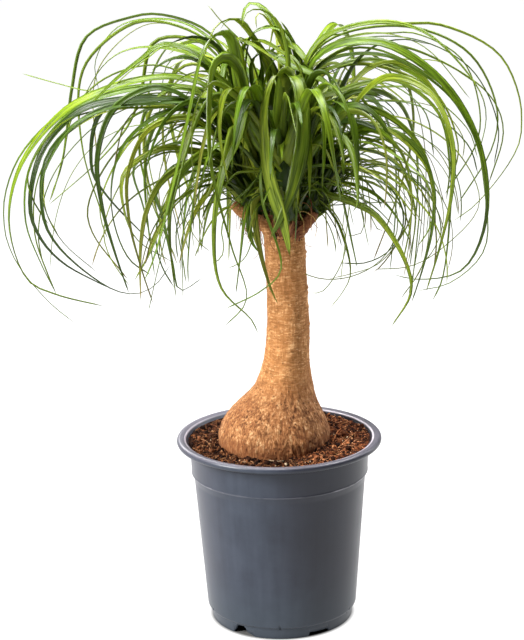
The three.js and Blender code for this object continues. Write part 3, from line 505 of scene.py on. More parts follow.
# Heads. seed draws their leaves by rule, and look draws how all of their leaves turn and are coloured.
# rolls, folds, breadth, hold, and the lists by leaf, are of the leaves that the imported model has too.
# cousins is the share of those leaves that get a thinner one beside them.
HEADS = [
    {
        "name": "left", "facing": 180, "seed": 239, "look": 1, "routes": LEFT_ROUTES, "flank": [30, 44],
        "fill": [[LONG_LEAF, 4], [MIDDLE_LEAF, 3], [SHORT_LEAF, 3]],
        "extra": [[HEART_LEAF, 9], [SKIRT_LEAF, 10], [WISP_LEAF, 5], [CURL_LEAF, 8], [TOP_LEAF, 3]],
        "traced": LEFT_TRACED, "cousins": 0.7,
        "rolls": (5, 42), "folds": (0.3, 0.7), "breadth": 1.1, "hold": 0.42,
        # Low tints on the left head: partly the leaves' own tones, partly painted shade on its lit side
        "tints": [
            0.25, 0.45, 0.15, -0.5, 0.0, 0.05, 0.5, 0.2, 0.45, 0.3, 0.5, 0.3, 0.5, -0.1, 0.4, 0.1, 0.6,
        ],
        "holds": [],
    },
    {
        "name": "right", "facing": 0, "seed": 125, "look": 53, "routes": RIGHT_ROUTES, "flank": [28, 44],
        "fill": [[LONG_LEAF, 3], [MIDDLE_LEAF, 3], [SHORT_LEAF, 2]],
        "extra": [[HEART_LEAF, 9], [SKIRT_LEAF, 10], [WISP_LEAF, 5], [CURL_LEAF, 9], [TOP_LEAF, 3]],
        "traced": RIGHT_TRACED, "cousins": 0.55,
        "rolls": (25, 60), "folds": (0.3, 0.7), "breadth": 0.88, "hold": 0.3,
        # Raised tints on the right head: partly the leaves' own tones, partly painted light on its shaded
        # side
        "tints": [
            0.47, 0.62, 0.42, 0.57, 0.27, 0.42, 0.67, 0.47, 0.77, 0.57, 0.42, 0.82, 0.52,
            0.67, 0.87, 0.47, 0.67, 0.42, 0.77, 0.62, 0.77, 0.87, 0.72, 0.62, 0.67, 0.57,
        ],
        "holds": [],
    },
    {
        "name": "front", "facing": 270, "seed": 37, "look": 50, "routes": FRONT_ROUTES, "flank": [6, 44],
        "fill": [[UPRIGHT_LEAF, 9], [SHORT_LEAF, 1]],
        "extra": [[HEART_LEAF, 12], [SKIRT_LEAF, 20]],
        "traced": FRONT_TRACED, "cousins": 0,
        "rolls": (8, 30), "folds": (0.15, 0.4), "breadth": 1.05, "hold": 0.5, "broad": {5: 1.24, 6: 1.26},
        # The ninth tint, above 1, is painted light on a leaf that hangs in shade in front of the trunk
        "tints": [0.4, 0.45, 0.3, 0.5, 0.4, 0.73, 0.55, 0.3, 1.25, 0.4, 0.35, 0.3, 0.6, 0.6, 0.4, 0.5],
        "holds": [0.5, 0.4, 0.5, 0.3, 0.4, 0.85, 0.75, 0.6, 0.4, 0.4, 0.6, 0.6, 0.6, 0.6, 0.5, 0.3],
    },
    {
        "name": "back", "facing": 90, "seed": 53, "look": 9, "routes": [], "flank": [0, 44],
        "fill": [[LONG_LEAF, 15], [MIDDLE_LEAF, 9], [UPRIGHT_LEAF, 5], [SHORT_LEAF, 3]],
        "extra": [
            [HEART_LEAF, 18], [SKIRT_LEAF, 10], [WISP_LEAF, 6], [MIDDLE_LEAF, 6], [CURL_LEAF, 6],
            [TOP_LEAF, 12],
        ],
        "traced": BACK_TRACED, "cousins": 0.4,
        "rolls": (8, 42), "folds": (0.3, 0.7), "breadth": 1.0, "hold": 0.45,
        "tints": [],
        "holds": [],
    },
]


def radians(degrees):
    return degrees * math.pi / 180


def mix(low, high, amount):
    return low + (high - low) * amount


def smooth(low, high, value):
    """0 below low, 1 above high, and a smooth rise between."""
    share = np.clip((value - low) / (high - low), 0, 1)
    return share * share * (3 - 2 * share)


def unit(vectors):
    return vectors / np.linalg.norm(vectors, axis=-1, keepdims=True)


def perlin(points, cell, seed):
    """Smooth noise, from about -1 to 1, with features about one cell wide."""
    gradients = unit(np.random.RandomState(seed).normal(size=NOISE_SHAPE))
    scaled = np.asarray(points) / cell
    base = np.floor(scaled).astype(int)
    inside = scaled - base
    eased = inside ** 3 * (inside * (inside * 6 - 15) + 10)
    total = np.zeros(len(scaled))
    for corner in np.ndindex(2, 2, 2):
        at = (base + corner) % NOISE_SIZE
        weight = np.where(corner, eased, 1 - eased).prod(axis=1)
        total += weight * (gradients[at[:, 0], at[:, 1], at[:, 2]] * (inside - corner)).sum(axis=1)
    return total * 1.6


def cells(points, cell, seed):
    """Distance from each point to the nearest and second nearest of scattered centres, in cells."""
    jitter = np.random.RandomState(seed).rand(*NOISE_SHAPE)
    scaled = np.asarray(points) / cell
    base = np.floor(scaled).astype(int)
    nearest = np.full(len(scaled), 9.0)
    second = np.full(len(scaled), 9.0)
    for offset in np.ndindex(3, 3, 3):
        lattice = base + offset - 1
        at = lattice % NOISE_SIZE
        centre = lattice + jitter[at[:, 0], at[:, 1], at[:, 2]]
        away = np.linalg.norm(scaled - centre, axis=1)
        second = np.minimum(second, np.maximum(nearest, away))
        nearest = np.minimum(nearest, away)
    return nearest, second


def seeded_random(seed):
    """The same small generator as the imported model's leaves were drawn with."""
    mask = 0xFFFFFFFF
    state = seed

    def draw():
        nonlocal state
        state = (state + 0x6D2B79F5) & mask
        bits = ((state ^ (state >> 15)) * (1 | state)) & mask
        bits = ((bits + (((bits ^ (bits >> 7)) * (61 | bits)) & mask)) & mask) ^ bits
        return ((bits ^ (bits >> 14)) & mask) / 2**32

    return draw


class Pile:
    """Gathers shapes, with values for each of their points, to make one mesh of them."""

    def __init__(self):
        self.points = []
        self.faces = []
        self.values = {}
        self.count = 0

    def add(self, points, faces, **values):
        points = np.asarray(points, dtype=float)
        self.points.append(points)
        self.faces += [tuple(corner + self.count for corner in face) for face in faces]
        for key, value in values.items():
            spread = np.broadcast_to(np.asarray(value, dtype=float), (len(points),))
            self.values.setdefault(key, []).append(spread)
        self.count += len(points)

    def mesh(self, name):
        """The shapes as one mesh in the frame."""
        mesh = bpy.data.meshes.new(name)
        mesh.from_pydata((np.concatenate(self.points) * MM + AXIS).tolist(), [], self.faces)
        for key, value in self.values.items():
            attribute = mesh.attributes.new(key, "FLOAT", "POINT")
            attribute.data.foreach_set("value", np.concatenate(value).astype(np.float32))
        return mesh

    def make(self, name, material, slot, *nodes):
        """One smooth object in the frame, which rides on the body and stands for those nodes."""
        mesh = self.mesh(name)
        mesh.polygons.foreach_set("use_smooth", np.ones(len(mesh.polygons), dtype=bool))
        mesh.materials.append(material)
        mesh.update()
        piece = show(name, mesh)
        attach(piece, "root")
        if nodes:
            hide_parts(*nodes)
        return piece


def show(name, data):
    """A new object in the scene."""
    thing = bpy.data.objects.new(name, data)
    bpy.context.scene.collection.objects.link(thing)
    return thing


def turns(sides):
    """Even angles round a ring."""
    return np.arange(sides) * 2 * math.pi / sides


def level(angles):
    """Unit vectors level with the floor, at angles."""
    return np.stack([np.cos(angles), np.sin(angles), np.zeros_like(angles)], axis=1)


def grid_faces(rows, sides, start=0):
    """Faces between rows of closed rings, each row above the one before, seen from outside."""
    faces = []
    for row in range(rows - 1):
        for side in range(sides):
            after = (side + 1) % sides
            low = start + row * sides
            high = low + sides
            faces.append((low + side, low + after, high + after, high + side))
    return faces


def cap_faces(ring_start, sides, point, top):
    """A fan from a ring to a point, facing up where it is the top one."""
    faces = []
    for side in range(sides):
        after = (side + 1) % sides
        pair = (ring_start + side, ring_start + after)
        faces.append((*(pair if top else pair[::-1]), point))
    return faces


def loft(pile, rings, first, last, **values):
    """A closed body through rings of points, capped by a first and a last point."""
    rings = np.asarray(rings, dtype=float)
    rows, sides = rings.shape[:2]
    points = np.concatenate([rings.reshape(-1, 3), [first], [last]])
    count = rows * sides
    faces = grid_faces(rows, sides)
    faces += cap_faces(0, sides, count, False)
    faces += cap_faces(count - sides, sides, count + 1, True)
    pile.add(points, faces, **values)


def rounded(outline, steps=5):
    """A [x, y, fillet radius] outline with its corners rounded."""
    corners = [np.array(corner[:2], dtype=float) for corner in outline]
    result = []
    for i, corner in enumerate(corners):
        fillet = outline[i][2] if len(outline[i]) > 2 else 0
        if fillet == 0 or i in (0, len(corners) - 1):
            result.append(corner)
            continue
        before = corners[i - 1] - corner
        after = corners[i + 1] - corner
        reach = min(fillet, 0.45 * np.linalg.norm(before), 0.45 * np.linalg.norm(after))
        start = corner + before / np.linalg.norm(before) * reach
        finish = corner + after / np.linalg.norm(after) * reach
        for step in range(steps + 1):
            t = step / steps
            result.append((1 - t) ** 2 * start + 2 * t * (1 - t) * corner + t * t * finish)
    return result


# Pot


def rim_arc(steps):
    """The rolled edge of the rim, from under it round to its top."""
    arc = []
    for step in range(steps + 1):
        angle = radians(mix(-90, 90, step / steps))
        arc.append([
            RIM_RADIUS - RIM_ROLL + RIM_ROLL * math.cos(angle),
            POT_HEIGHT - RIM_ROLL + RIM_ROLL * math.sin(angle),
        ])
    return arc


def wall_points(heights):
    """Points of the outline up the body's straight wall."""
    slope = (BODY_TOP_RADIUS - BODY_FOOT_RADIUS) / (BODY_TOP_Z - BODY_FOOT_Z)
    return [[BODY_FOOT_RADIUS + slope * (z - BODY_FOOT_Z), z] for z in heights]


def pot_outline():
    lip_z = POT_HEIGHT - 2 * RIM_ROLL
    return rounded([
        [0, FLOOR_BOTTOM_Z],
        [FOOT_INNER_RADIUS, FLOOR_BOTTOM_Z, 0.8],
        [FOOT_INNER_RADIUS, 0, 0.4],
        [FOOT_RADIUS, 0, 0.5],
        [mix(FOOT_RADIUS, FOOT_TOP_RADIUS, 0.76), FOOT_TOP_Z * 0.76],
        [mix(FOOT_RADIUS, FOOT_TOP_RADIUS, 0.84), FOOT_TOP_Z * 0.84],
        [FOOT_TOP_RADIUS, FOOT_TOP_Z, 0.5],
        [BODY_FOOT_RADIUS, BODY_FOOT_Z, 1.6],
        *wall_points([16.5, 19, 23, 30, 60, 90, 120]),
        [BODY_TOP_RADIUS, BODY_TOP_Z, 1.5],
        [COLLAR_FOOT_RADIUS - 0.5, COLLAR_FOOT_Z - 1.4, 0.5],
        [COLLAR_FOOT_RADIUS + 0.5, COLLAR_FOOT_Z - 0.5, 0.6],
        [COLLAR_FOOT_RADIUS + 0.1, COLLAR_FOOT_Z + 1.2, 0.6],
        [COLLAR_TOP_RADIUS, lip_z - 1.4, 1.4],
        [COLLAR_TOP_RADIUS + 1.4, lip_z, 1.2],
        *rim_arc(12),
        [RIM_INNER_RADIUS, POT_HEIGHT - 1.2, 0.7],
        [FUNNEL_RADIUS, POT_HEIGHT - FUNNEL_DEPTH, 2.5],
        [COLLAR_TOP_RADIUS - WALL, POT_HEIGHT - 12, 3],
        [COLLAR_FOOT_RADIUS - WALL, COLLAR_FOOT_Z + 1, 1],
        [BODY_TOP_RADIUS - WALL, BODY_TOP_Z + 1, 1],
        [BODY_FOOT_RADIUS - WALL, WALL_FOOT_Z, 1],
        [FLOOR_RADIUS, FLOOR_TOP_Z, 1],
        [0, FLOOR_TOP_Z],
    ])


def foot_height(angle):
    """How far the foot's edge stands off the ground at an angle."""
    for middle, outline in FOOT_OPENINGS:
        along, heights = zip(*outline)
        turn = (angle - middle + 90) % 180 - 90
        place = radians(turn) * FOOT_RADIUS
        if along[0] <= place <= along[-1]:
            return float(np.interp(place, along, heights))
    return 0.0


def nick(angle, z):
    """How far the small nicks under the pot's body reach in at an angle and height."""
    away = min(abs((angle - at + 180) % 360 - 180) for at in NICK_ANGLES)
    return NICK_DEPTH if away < NICK_HALF_ANGLE and FOOT_TOP_Z - 1 < z < BODY_FOOT_Z + 1.5 else 0.0


def pot_angles():
    """Even steps round the pot, with a close pair at each corner of the foot's openings and nicks."""
    corners = [at + edge for at in NICK_ANGLES for edge in (-NICK_CORNER, NICK_CORNER)]
    for middle, outline in FOOT_OPENINGS:
        for along, _ in outline:
            turn = middle + math.degrees(along / FOOT_RADIUS)
            corners += [turn, turn + 180]
    angles = set(np.arange(0, 360, POT_STEP))
    for corner in corners:
        angles |= {(corner - CORNER_STEP) % 360, (corner + CORNER_STEP) % 360}
    return sorted(angles)


def drain_pegs():
    """Upright round cutters: one in the middle of the pot's floor and a circle of them."""
    pegs = Pile()
    middle = (FLOOR_TOP_Z + FLOOR_BOTTOM_Z) / 2
    circle = level(turns(DRAIN_SIDES)) * DRAIN_RADIUS
    centres = np.vstack([np.zeros((1, 3)), level(turns(DRAIN_COUNT)) * DRAIN_CIRCLE])
    for centre in centres + (0, 0, middle):
        ends = [centre - (0, 0, DRAIN_REACH), centre + (0, 0, DRAIN_REACH)]
        loft(pegs, [circle + end for end in ends], *ends)
    return pegs


def cut_holes(piece):
    """Drain holes in the pot's floor."""
    cutter = show("pot_holes", drain_pegs().mesh("pot_holes"))
    boolean = piece.modifiers.new("holes", "BOOLEAN")
    boolean.operation = "DIFFERENCE"
    boolean.solver = "EXACT"
    boolean.object = cutter
    graph = bpy.context.evaluated_depsgraph_get()
    cut = bpy.data.meshes.new_from_object(piece.evaluated_get(graph))
    piece.modifiers.clear()
    piece.data = cut
    bpy.data.objects.remove(cutter)


def pot_ring(radius, z, angles):
    """One ring of the pot's wall, raised over the foot's openings and drawn in at its nicks."""
    ring = []
    for angle in angles:
        lift = foot_height(angle)
        raised = z < lift + FOOT_EDGE and radius <= FOOT_TOP_RADIUS
        height = max(z, lift + z * FOOT_SQUEEZE) if raised else z
        reach = radius - (nick(angle, z) if radius > FLOOR_RADIUS + 1 else 0)
        ring.append([reach * math.cos(radians(angle)), reach * math.sin(radians(angle)), height])
    return ring


def make_pot():
    angles = pot_angles()
    rings = [pot_ring(radius, z, angles) for radius, z in pot_outline()[1:-1]]
    pile = Pile()
    loft(pile, rings, (0, 0, FLOOR_BOTTOM_Z), (0, 0, FLOOR_TOP_Z))
    piece = pile.make("pot_shell", pot_material(), "pot_plastic", "pot")
    cut_holes(piece)
    piece.data.shade_smooth()


# Trunk


def outline_at(z):
    """Left and right edge of the trunk at each height, on a smooth curve through its outline."""
    table = np.array(TRUNK_OUTLINE, dtype=float)
    heights = table[:, 0]
    slopes = np.gradient(table[:, 1:], heights, axis=0)
    z = np.clip(z, heights[0], heights[-1])
    at = np.clip(np.searchsorted(heights, z, side="right") - 1, 0, len(heights) - 2)
    span = (heights[at + 1] - heights[at])[:, None]
    t = ((z - heights[at])[:, None]) / span
    low, high = table[at, 1:], table[at + 1, 1:]
    return (
        (2 * t ** 3 - 3 * t ** 2 + 1) * low + (t ** 3 - 2 * t ** 2 + t) * span * slopes[at]
        + (3 * t ** 2 - 2 * t ** 3) * high + (t ** 3 - t ** 2) * span * slopes[at + 1]
    )


def trunk_surface(z, angle, swell=0):
    """Points on the trunk's plain surface, at heights and angles, and the way out from it."""
    edges = outline_at(z)
    centre = edges.mean(axis=1)
    radius = (edges[:, 1] - edges[:, 0]) / 2 + swell
    lump = np.sin(3 * angle + z * 0.021) + np.sin(5 * angle - z * 0.034)
    radius = radius * (1 + TRUNK_LUMP * lump * np.minimum(1, np.abs(np.sin(angle)) + 0.2))
    out = level(angle)
    return np.stack([centre, np.zeros_like(z), z], axis=1) + out * radius[:, None], out


def scar_relief(points, angle):
    """Relief and depth of the trunk's upper part: broken ring scars with fine cracks."""
    z = points[:, 2]
    flat = np.stack([np.cos(angle) * 22, np.sin(angle) * 22, z], axis=1)
    wander = perlin(flat * (1, 1, 0.4), 20, 3) * 0.9 + perlin(flat, 7, 4) * 0.3
    ring = (z + wander * SCAR_SPACING) / SCAR_SPACING
    dip = np.abs(ring - np.round(ring)) * 2
    broken = smooth(-0.1, 0.5, perlin(flat * (0.5, 0.5, 2.2), 6, 5))
    scar = (1 - smooth(0.0, 0.4, dip)) * broken
    ledge = (ring - np.floor(ring)) - 0.5
    crack = smooth(0.3, 0.7, perlin(flat * (1, 1, 0.25), 2.4, 6)) * smooth(-0.1, 0.5, perlin(flat, 11, 7))
    relief = (
        -0.6 * scar + 0.34 * ledge * broken - 0.3 * crack + 0.35 * perlin(points, 8, 14)
        + 0.14 * perlin(points, 2.4, 15) + 0.5 * perlin(points, 26, 16)
    )
    return relief, np.clip(scar * 0.75 + crack * 0.5, 0, 1)


def cork_relief(points):
    """Relief and depth of the caudex: upright fissures, pits and knobs."""
    upright = points * (1, 1, 0.32)
    warped = upright + perlin(points, 8, 8)[:, None] * 1.8
    fissure = 1 - smooth(0.0, 0.2, np.abs(perlin(warped, 4.4, 9)))
    fissure = fissure * smooth(-0.3, 0.4, perlin(points, 13, 13))
    grain = perlin(upright, 2.6, 10)
    knob = perlin(points * (1, 1, 0.42), 3.6, 19)
    pit = 1 - smooth(0.1, 0.34, cells(points, 6, 11)[0])
    pit = pit * smooth(-0.1, 0.3, perlin(points, 17, 12))
    relief = (
        -0.7 * fissure - 0.9 * pit + 0.42 * grain + 0.5 * knob
        + 0.75 * perlin(points, 22, 17) + 0.4 * perlin(points, 9, 18)
    )
    return relief, np.clip(fissure * 0.6 + pit + 0.35 * smooth(0.1, 0.8, -knob), 0, 1)


def bark_relief(points, angle):
    """How far the bark stands out from the trunk's surface, and how deep its cracks are."""
    high, depth_high = scar_relief(points, angle)
    low, depth_low = cork_relief(points)
    upper = smooth(*CAUDEX_TOP, points[:, 2])
    return mix(low, high, upper), mix(depth_low, depth_high, upper)


def bark_flakes(points):
    """Small ledges of bark that stand out from the trunk's sides."""
    stand = np.zeros(len(points))
    for height, angle, size in BARK_FLAKES:
        edges = outline_at(np.array([height]))[0]
        centre = np.array([edges.mean(), 0, height])
        spot = centre + level(np.array([radians(angle)]))[0] * (edges[1] - edges[0]) / 2
        away = (points - spot) / (1, 1, 0.7)
        stand += size * np.exp(-((np.linalg.norm(away, axis=1) / FLAKE_RADIUS) ** 2))
    return stand


def trunk_heights():
    """Row heights: close enough everywhere for the ring scars."""
    below = np.linspace(TRUNK_OUTLINE[0][0], TRUNK_WAIST_Z, TRUNK_ROWS[0], endpoint=False)
    above = np.linspace(TRUNK_WAIST_Z, TRUNK_OUTLINE[-1][0], TRUNK_ROWS[1])
    return np.concatenate([below, above])


def make_trunk():
    heights = trunk_heights()
    z = np.repeat(heights, TRUNK_SEGMENTS)
    angle = np.tile(turns(TRUNK_SEGMENTS), len(heights))
    points, out = trunk_surface(z, angle)
    relief, depth = bark_relief(points, angle)
    fade = smooth(TRUNK_OUTLINE[0][0], RELIEF_FULL_Z, z)
    points = points + out * ((relief + bark_flakes(points)) * fade)[:, None]
    rings = points.reshape(len(heights), TRUNK_SEGMENTS, 3)
    pile = Pile()
    first = rings[0].mean(axis=0) - (0, 0, 1)
    last = rings[-1].mean(axis=0) + (0, 0, 1)
    loft(pile, rings, first, last, depth=np.append(depth, [0, 0]), red=0.0)
    for head in HEADS:
        add_stub(pile, head["facing"])
    for start, end, red, path in BRANCHES:
        path = spline(np.array(path, dtype=float))
        radii = np.linspace(start, end, len(path))
        tube(pile, path, radii, BRANCH_SIDES, BRANCH_ROUGHNESS, depth=0.0, red=red)
    pile.make("trunk_bark", bark_material(), "bark", "trunk")


def to_plant(points, facing):
    """Points in a head's own direction as points of the plant."""
    turn = radians(facing)
    x, y, z = np.asarray(points, dtype=float).T
    return np.stack([
        CROWN_X + x * math.cos(turn) - y * math.sin(turn),
        x * math.sin(turn) + y * math.cos(turn),
        z,
    ], axis=1)


def on_head(points, facing):
    """Points laid out about a head's own axis, from its foot, as points of the plant."""
    lean = radians(HEAD_LEAN)
    x, y, z = np.asarray(points, dtype=float).T
    reach = HEAD_REACH + x * math.cos(lean) + z * math.sin(lean)
    height = HEAD_Z - x * math.sin(lean) + z * math.cos(lean)
    return to_plant(np.stack([reach, y, height], axis=1), facing)


def add_stub(pile, facing):
    """A branch stub under a head, with rough reddish bark."""
    circle = level(turns(STUB_SIDES))
    seed = STUB_SEED + facing
    rings = []
    depths = []
    for along in np.linspace(-STUB_LENGTH, -GAP, STUB_ROWS):
        spot = circle * STUB_RADIUS + (0, 0, along)
        near, second = cells(spot * (1, 1, 0.55), 3.6, seed)
        seam = 1 - smooth(0.04, 0.3, second - near)
        bulge = 0.5 * perlin(spot, 6, seed + 1) + 0.25 * perlin(spot, 2, seed + 2) - 0.7 * seam
        bulge += 1.1 * smooth(-14, -2, along)
        rings.append(on_head(circle * (STUB_RADIUS + bulge)[:, None] + (0, 0, along), facing))
        depths.append(seam)
    first, last = on_head([(0, 0, -STUB_LENGTH), (0, 0, -GAP)], facing)
    loft(pile, rings, first, last, depth=np.append(np.concatenate(depths), [0, 0]), red=1.0)


# Soil


def soil_height(x, y):
    """Height of the loose soil's surface, in millimetres."""
    radius = np.hypot(x, y)
    share = np.clip(radius / SOIL_RADIUS, 0, 1)
    height = SOIL_EDGE_Z + SOIL_RISE * (1 - share) + SOIL_MOUND * (x / SOIL_RADIUS) * (1 - share ** 2)
    flat = np.stack([x, y, np.zeros_like(x)], axis=1)
    near, second = cells(flat + perlin(flat, 6, 20)[:, None] * 2, 7.5, 21)
    clods = np.clip(0.66 - near, 0, 1) * 4.6 - 0.6
    rough = 1.3 * perlin(flat, 19, 22) + 1.0 * perlin(flat, 6.5, 23) + 0.7 * perlin(flat, 2.6, 24)
    for heap_x, heap_y, width, rise in SOIL_HEAPS:
        height = height + rise * np.exp(-((x - heap_x) ** 2 + (y - heap_y) ** 2) / (2 * width ** 2))
    edge = -0.6 * smooth(0.92, 1.0, share)
    funnel_z = [0, POT_HEIGHT - FUNNEL_DEPTH, POT_HEIGHT - 1.2]
    funnel = np.interp(radius, [FUNNEL_RADIUS - 0.1, FUNNEL_RADIUS, RIM_INNER_RADIUS], funnel_z)
    return np.maximum(height + clods + rough + edge - 0.4, funnel + 0.4)


def make_soil():
    """The bed: its sides within the pot, its top and its hollow round the trunk's foot."""
    turn = turns(SOIL_SEGMENTS)
    circle = level(turn)
    rings = []
    for z in SOIL_WALL_Z[::-1]:
        rings.append(circle * (pot_inner_radius(z) - GAP) + (0, 0, z))
    contact, _ = trunk_surface(np.full(SOIL_SEGMENTS, float(SOIL_CONTACT_Z)), turn, GAP)
    for row in range(SOIL_ROWS):
        share = (row / (SOIL_ROWS - 1)) ** 0.9
        flat = mix(circle * SOIL_RADIUS, contact, share)[:, :2]
        rings.append(on_soil(flat))
    for z in SOIL_HOLLOW_Z:
        ring, _ = trunk_surface(np.full(SOIL_SEGMENTS, float(z)), turn, GAP)
        rings.append(ring)
    pile = Pile()
    last = rings[-1].mean(axis=0) - (0, 0, 1)
    loft(pile, rings, (0, 0, SOIL_WALL_Z[-1]), last)
    pile.make("soil_bed", soil_material(), "potting_soil", "soil")


def pot_inner_radius(z):
    profile = [
        [FLOOR_TOP_Z, FLOOR_RADIUS],
        [WALL_FOOT_Z, BODY_FOOT_RADIUS - WALL],
        [BODY_TOP_Z + 1, BODY_TOP_RADIUS - WALL],
        [COLLAR_FOOT_Z + 1, COLLAR_FOOT_RADIUS - WALL],
        [POT_HEIGHT - 12, COLLAR_TOP_RADIUS - WALL],
        [POT_HEIGHT - FUNNEL_DEPTH, FUNNEL_RADIUS],
    ]
    heights, radii = zip(*profile)
    return float(np.interp(z, heights, radii))


def on_soil(places):
    """Points on the soil's surface, at places given as x and y."""
    places = np.array(places, dtype=float)
    return np.column_stack([places, soil_height(places[:, 0], places[:, 1])])


def soil_spots(random, count):
    """Places on the soil between the trunk and the wall."""
    edges = outline_at(np.array([float(SOIL_EDGE_Z)]))[0]
    spots = []
    while len(spots) < count:
        radius = (SOIL_RADIUS - 2.5) * math.sqrt(random.rand())
        angle = random.rand() * 2 * math.pi
        x, y = radius * math.cos(angle), radius * math.sin(angle)
        if math.hypot(x - edges.mean(), y) > (edges[1] - edges[0]) / 2 + 0.5:
            spots.append((x, y))
    return on_soil(spots)


def ball(subdivisions):
    """Points and faces of an even ball of radius 1."""
    shape = bmesh.new()
    bmesh.ops.create_icosphere(shape, subdivisions=subdivisions, radius=1)
    points = np.array([vertex.co[:] for vertex in shape.verts])
    faces = [tuple(vertex.index for vertex in face.verts) for face in shape.faces]
    shape.free()
    return points, faces


def random_turn(random):
    """A rotation drawn evenly."""
    q = random.normal(size=4)
    w, x, y, z = q / np.linalg.norm(q)
    return np.array([
        [1 - 2 * (y * y + z * z), 2 * (x * y - z * w), 2 * (x * z + y * w)],
        [2 * (x * y + z * w), 1 - 2 * (x * x + z * z), 2 * (y * z - x * w)],
        [2 * (x * z - y * w), 2 * (y * z + x * w), 1 - 2 * (x * x + y * y)],
    ])


def scatter_crumbs(pile, random, spots, subdivisions, sizes, squash, tints):
    """Lumpy crumbs of soil, half sunk in the bed."""
    points, faces = ball(subdivisions)
    for spot in spots:
        size = mix(*sizes, random.rand() ** 2.2)
        shape = np.array([1, mix(squash, 1, random.rand()), mix(squash, 1, random.rand())])
        swell = 1 + 0.55 * perlin(points + random.rand(3) * 20, 0.8, 30)
        lump = (points * swell[:, None] * shape * size) @ random_turn(random).T
        tint = mix(*tints, random.rand())
        pile.add(lump + spot + (0, 0, size * 0.3), faces, tint=tint)


def strew(name, random, kinds):
    """One piece of crumbs: each kind says how many there are, or where they lie."""
    pile = Pile()
    for places, *shape in kinds:
        spots = soil_spots(random, places) if isinstance(places, int) else on_soil(places)
        scatter_crumbs(pile, random, spots, *shape)
    pile.make(name, soil_crumb_material(), "potting_soil")


def make_crumbs():
    random = np.random.RandomState(CRUMB_SEED)
    strew("soil_crumbs", random, SOIL_CRUMBS)
    strew("soil_chips", random, SOIL_CHIPS)


def tube(pile, path, radii, sides, rough=0.0, **values):
    """A closed tube along a path, with a radius at each of its points and a share of roughness."""
    path = np.asarray(path, dtype=float)
    tangents = unit(np.gradient(path, axis=0))
    across = unit(np.cross(tangents[0], (0.31, 0.2, 0.93)))
    circle = level(turns(sides))
    rings = []
    for spot, tangent, radius in zip(path, tangents, radii):
        across = unit(across - tangent * across.dot(tangent))
        ring = circle @ np.array([across, np.cross(tangent, across), tangent])
        if rough:
            ring = ring * (1 + rough * perlin(spot + ring * radius, 3.2, 31))[:, None]
        rings.append(spot + ring * radius)
    loft(pile, rings, path[0], path[-1], **values)


def fibre_path(random, spot):
    """A loose fibre's path over the soil from a spot, curling and settling as it goes."""
    heading = random.rand() * 2 * math.pi
    length = mix(*FIBRE_LENGTHS, random.rand() ** 1.6)
    rise = mix(-0.15, 0.45, random.rand())
    curl = random.normal() * 0.35
    path = [spot + (0, 0, 0.2)]
    for _ in range(FIBRE_STEPS):
        heading += curl + random.normal() * 0.22
        rise -= 0.09
        step = np.array([math.cos(heading), math.sin(heading), rise])
        path.append(path[-1] + step * length / FIBRE_STEPS)
    path = np.array(path)
    away = np.hypot(path[:, 0], path[:, 1])
    path[:, :2] *= np.minimum(1, (SOIL_RADIUS - 1.5) / away)[:, None]
    path[:, 2] = np.maximum(path[:, 2], soil_height(path[:, 0], path[:, 1]) - 0.3)
    return path


def make_fibres():
    """Loose coir fibres and fine roots that lie on the soil."""
    random = np.random.RandomState(FIBRE_SEED)
    pile = Pile()
    for spot in soil_spots(random, FIBRES):
        path = fibre_path(random, spot)
        radii = mix(*FIBRE_RADII, random.rand() ** 2) * np.linspace(1, 0.35, len(path))
        tube(pile, path, radii, 4, tint=mix(0.35, 0.84, random.rand()))
    for thickness, tint, points in ROOTS:
        path = spline(np.array(points, dtype=float))
        tube(pile, path, thickness / 2 * np.linspace(1, 0.5, len(path)), 8, tint=tint)
    pile.make("soil_fibres", soil_crumb_material(), "potting_soil")


# Leaves


def root_of(order):
    """The root of a leaf on its head's axis, as (reach, height)."""
    along = mix(ROOT_NEAR, ROOT_FAR, (order * GOLDEN_FRACTION) % 1)
    lean = radians(HEAD_LEAN)
    return HEAD_REACH + along * math.sin(lean), HEAD_Z + along * math.cos(lean)


def route_in_head(azimuth, facing, route, order):
    """A route's points as [reach, sideways, height] in the head's own direction."""
    turn = radians(azimuth - facing)
    root_reach, root_z = root_of(order)
    points = [[root_reach, 0, root_z]]
    for reach, z, *rest in route:
        side = rest[0] if rest else 0
        points.append([
            reach * math.cos(turn) - side * math.sin(turn),
            reach * math.sin(turn) + side * math.cos(turn),
            z,
        ])
    return points


def ruled_leaf(random, kind, flank, order):
    """A leaf by rule: it launches, bends over its middle and hangs, drifting a little to one side."""
    def draw(limits):
        return mix(limits[0], limits[1], random())

    azimuth = radians(draw(flank) * (1 if order % 2 == 0 else -1))
    launch, length, bend, hang, sharpness, width = [draw(limits) for limits in kind]
    drift = length * FILL_DRIFT * (2 * random() - 1)
    start = math.tanh(-sharpness * bend)
    finish = math.tanh(sharpness * (1 - bend))
    steps = (FILL_POINTS - 1) * FILL_SUBSTEPS
    reach, z = root_of(order)
    points = [[reach, 0, z]]
    for i in range(1, steps + 1):
        along = i / steps
        turned = (math.tanh(sharpness * (along - bend)) - start) / (finish - start)
        angle = radians(mix(launch, hang, turned))
        reach += math.cos(angle) * length / steps
        z += math.sin(angle) * length / steps
        if i % FILL_SUBSTEPS == 0:
            early = min(1, along * 3)
            side = reach * math.sin(azimuth) * early + drift * along * along
            points.append([reach * mix(1, math.cos(azimuth), early), side, z])
    return points, width


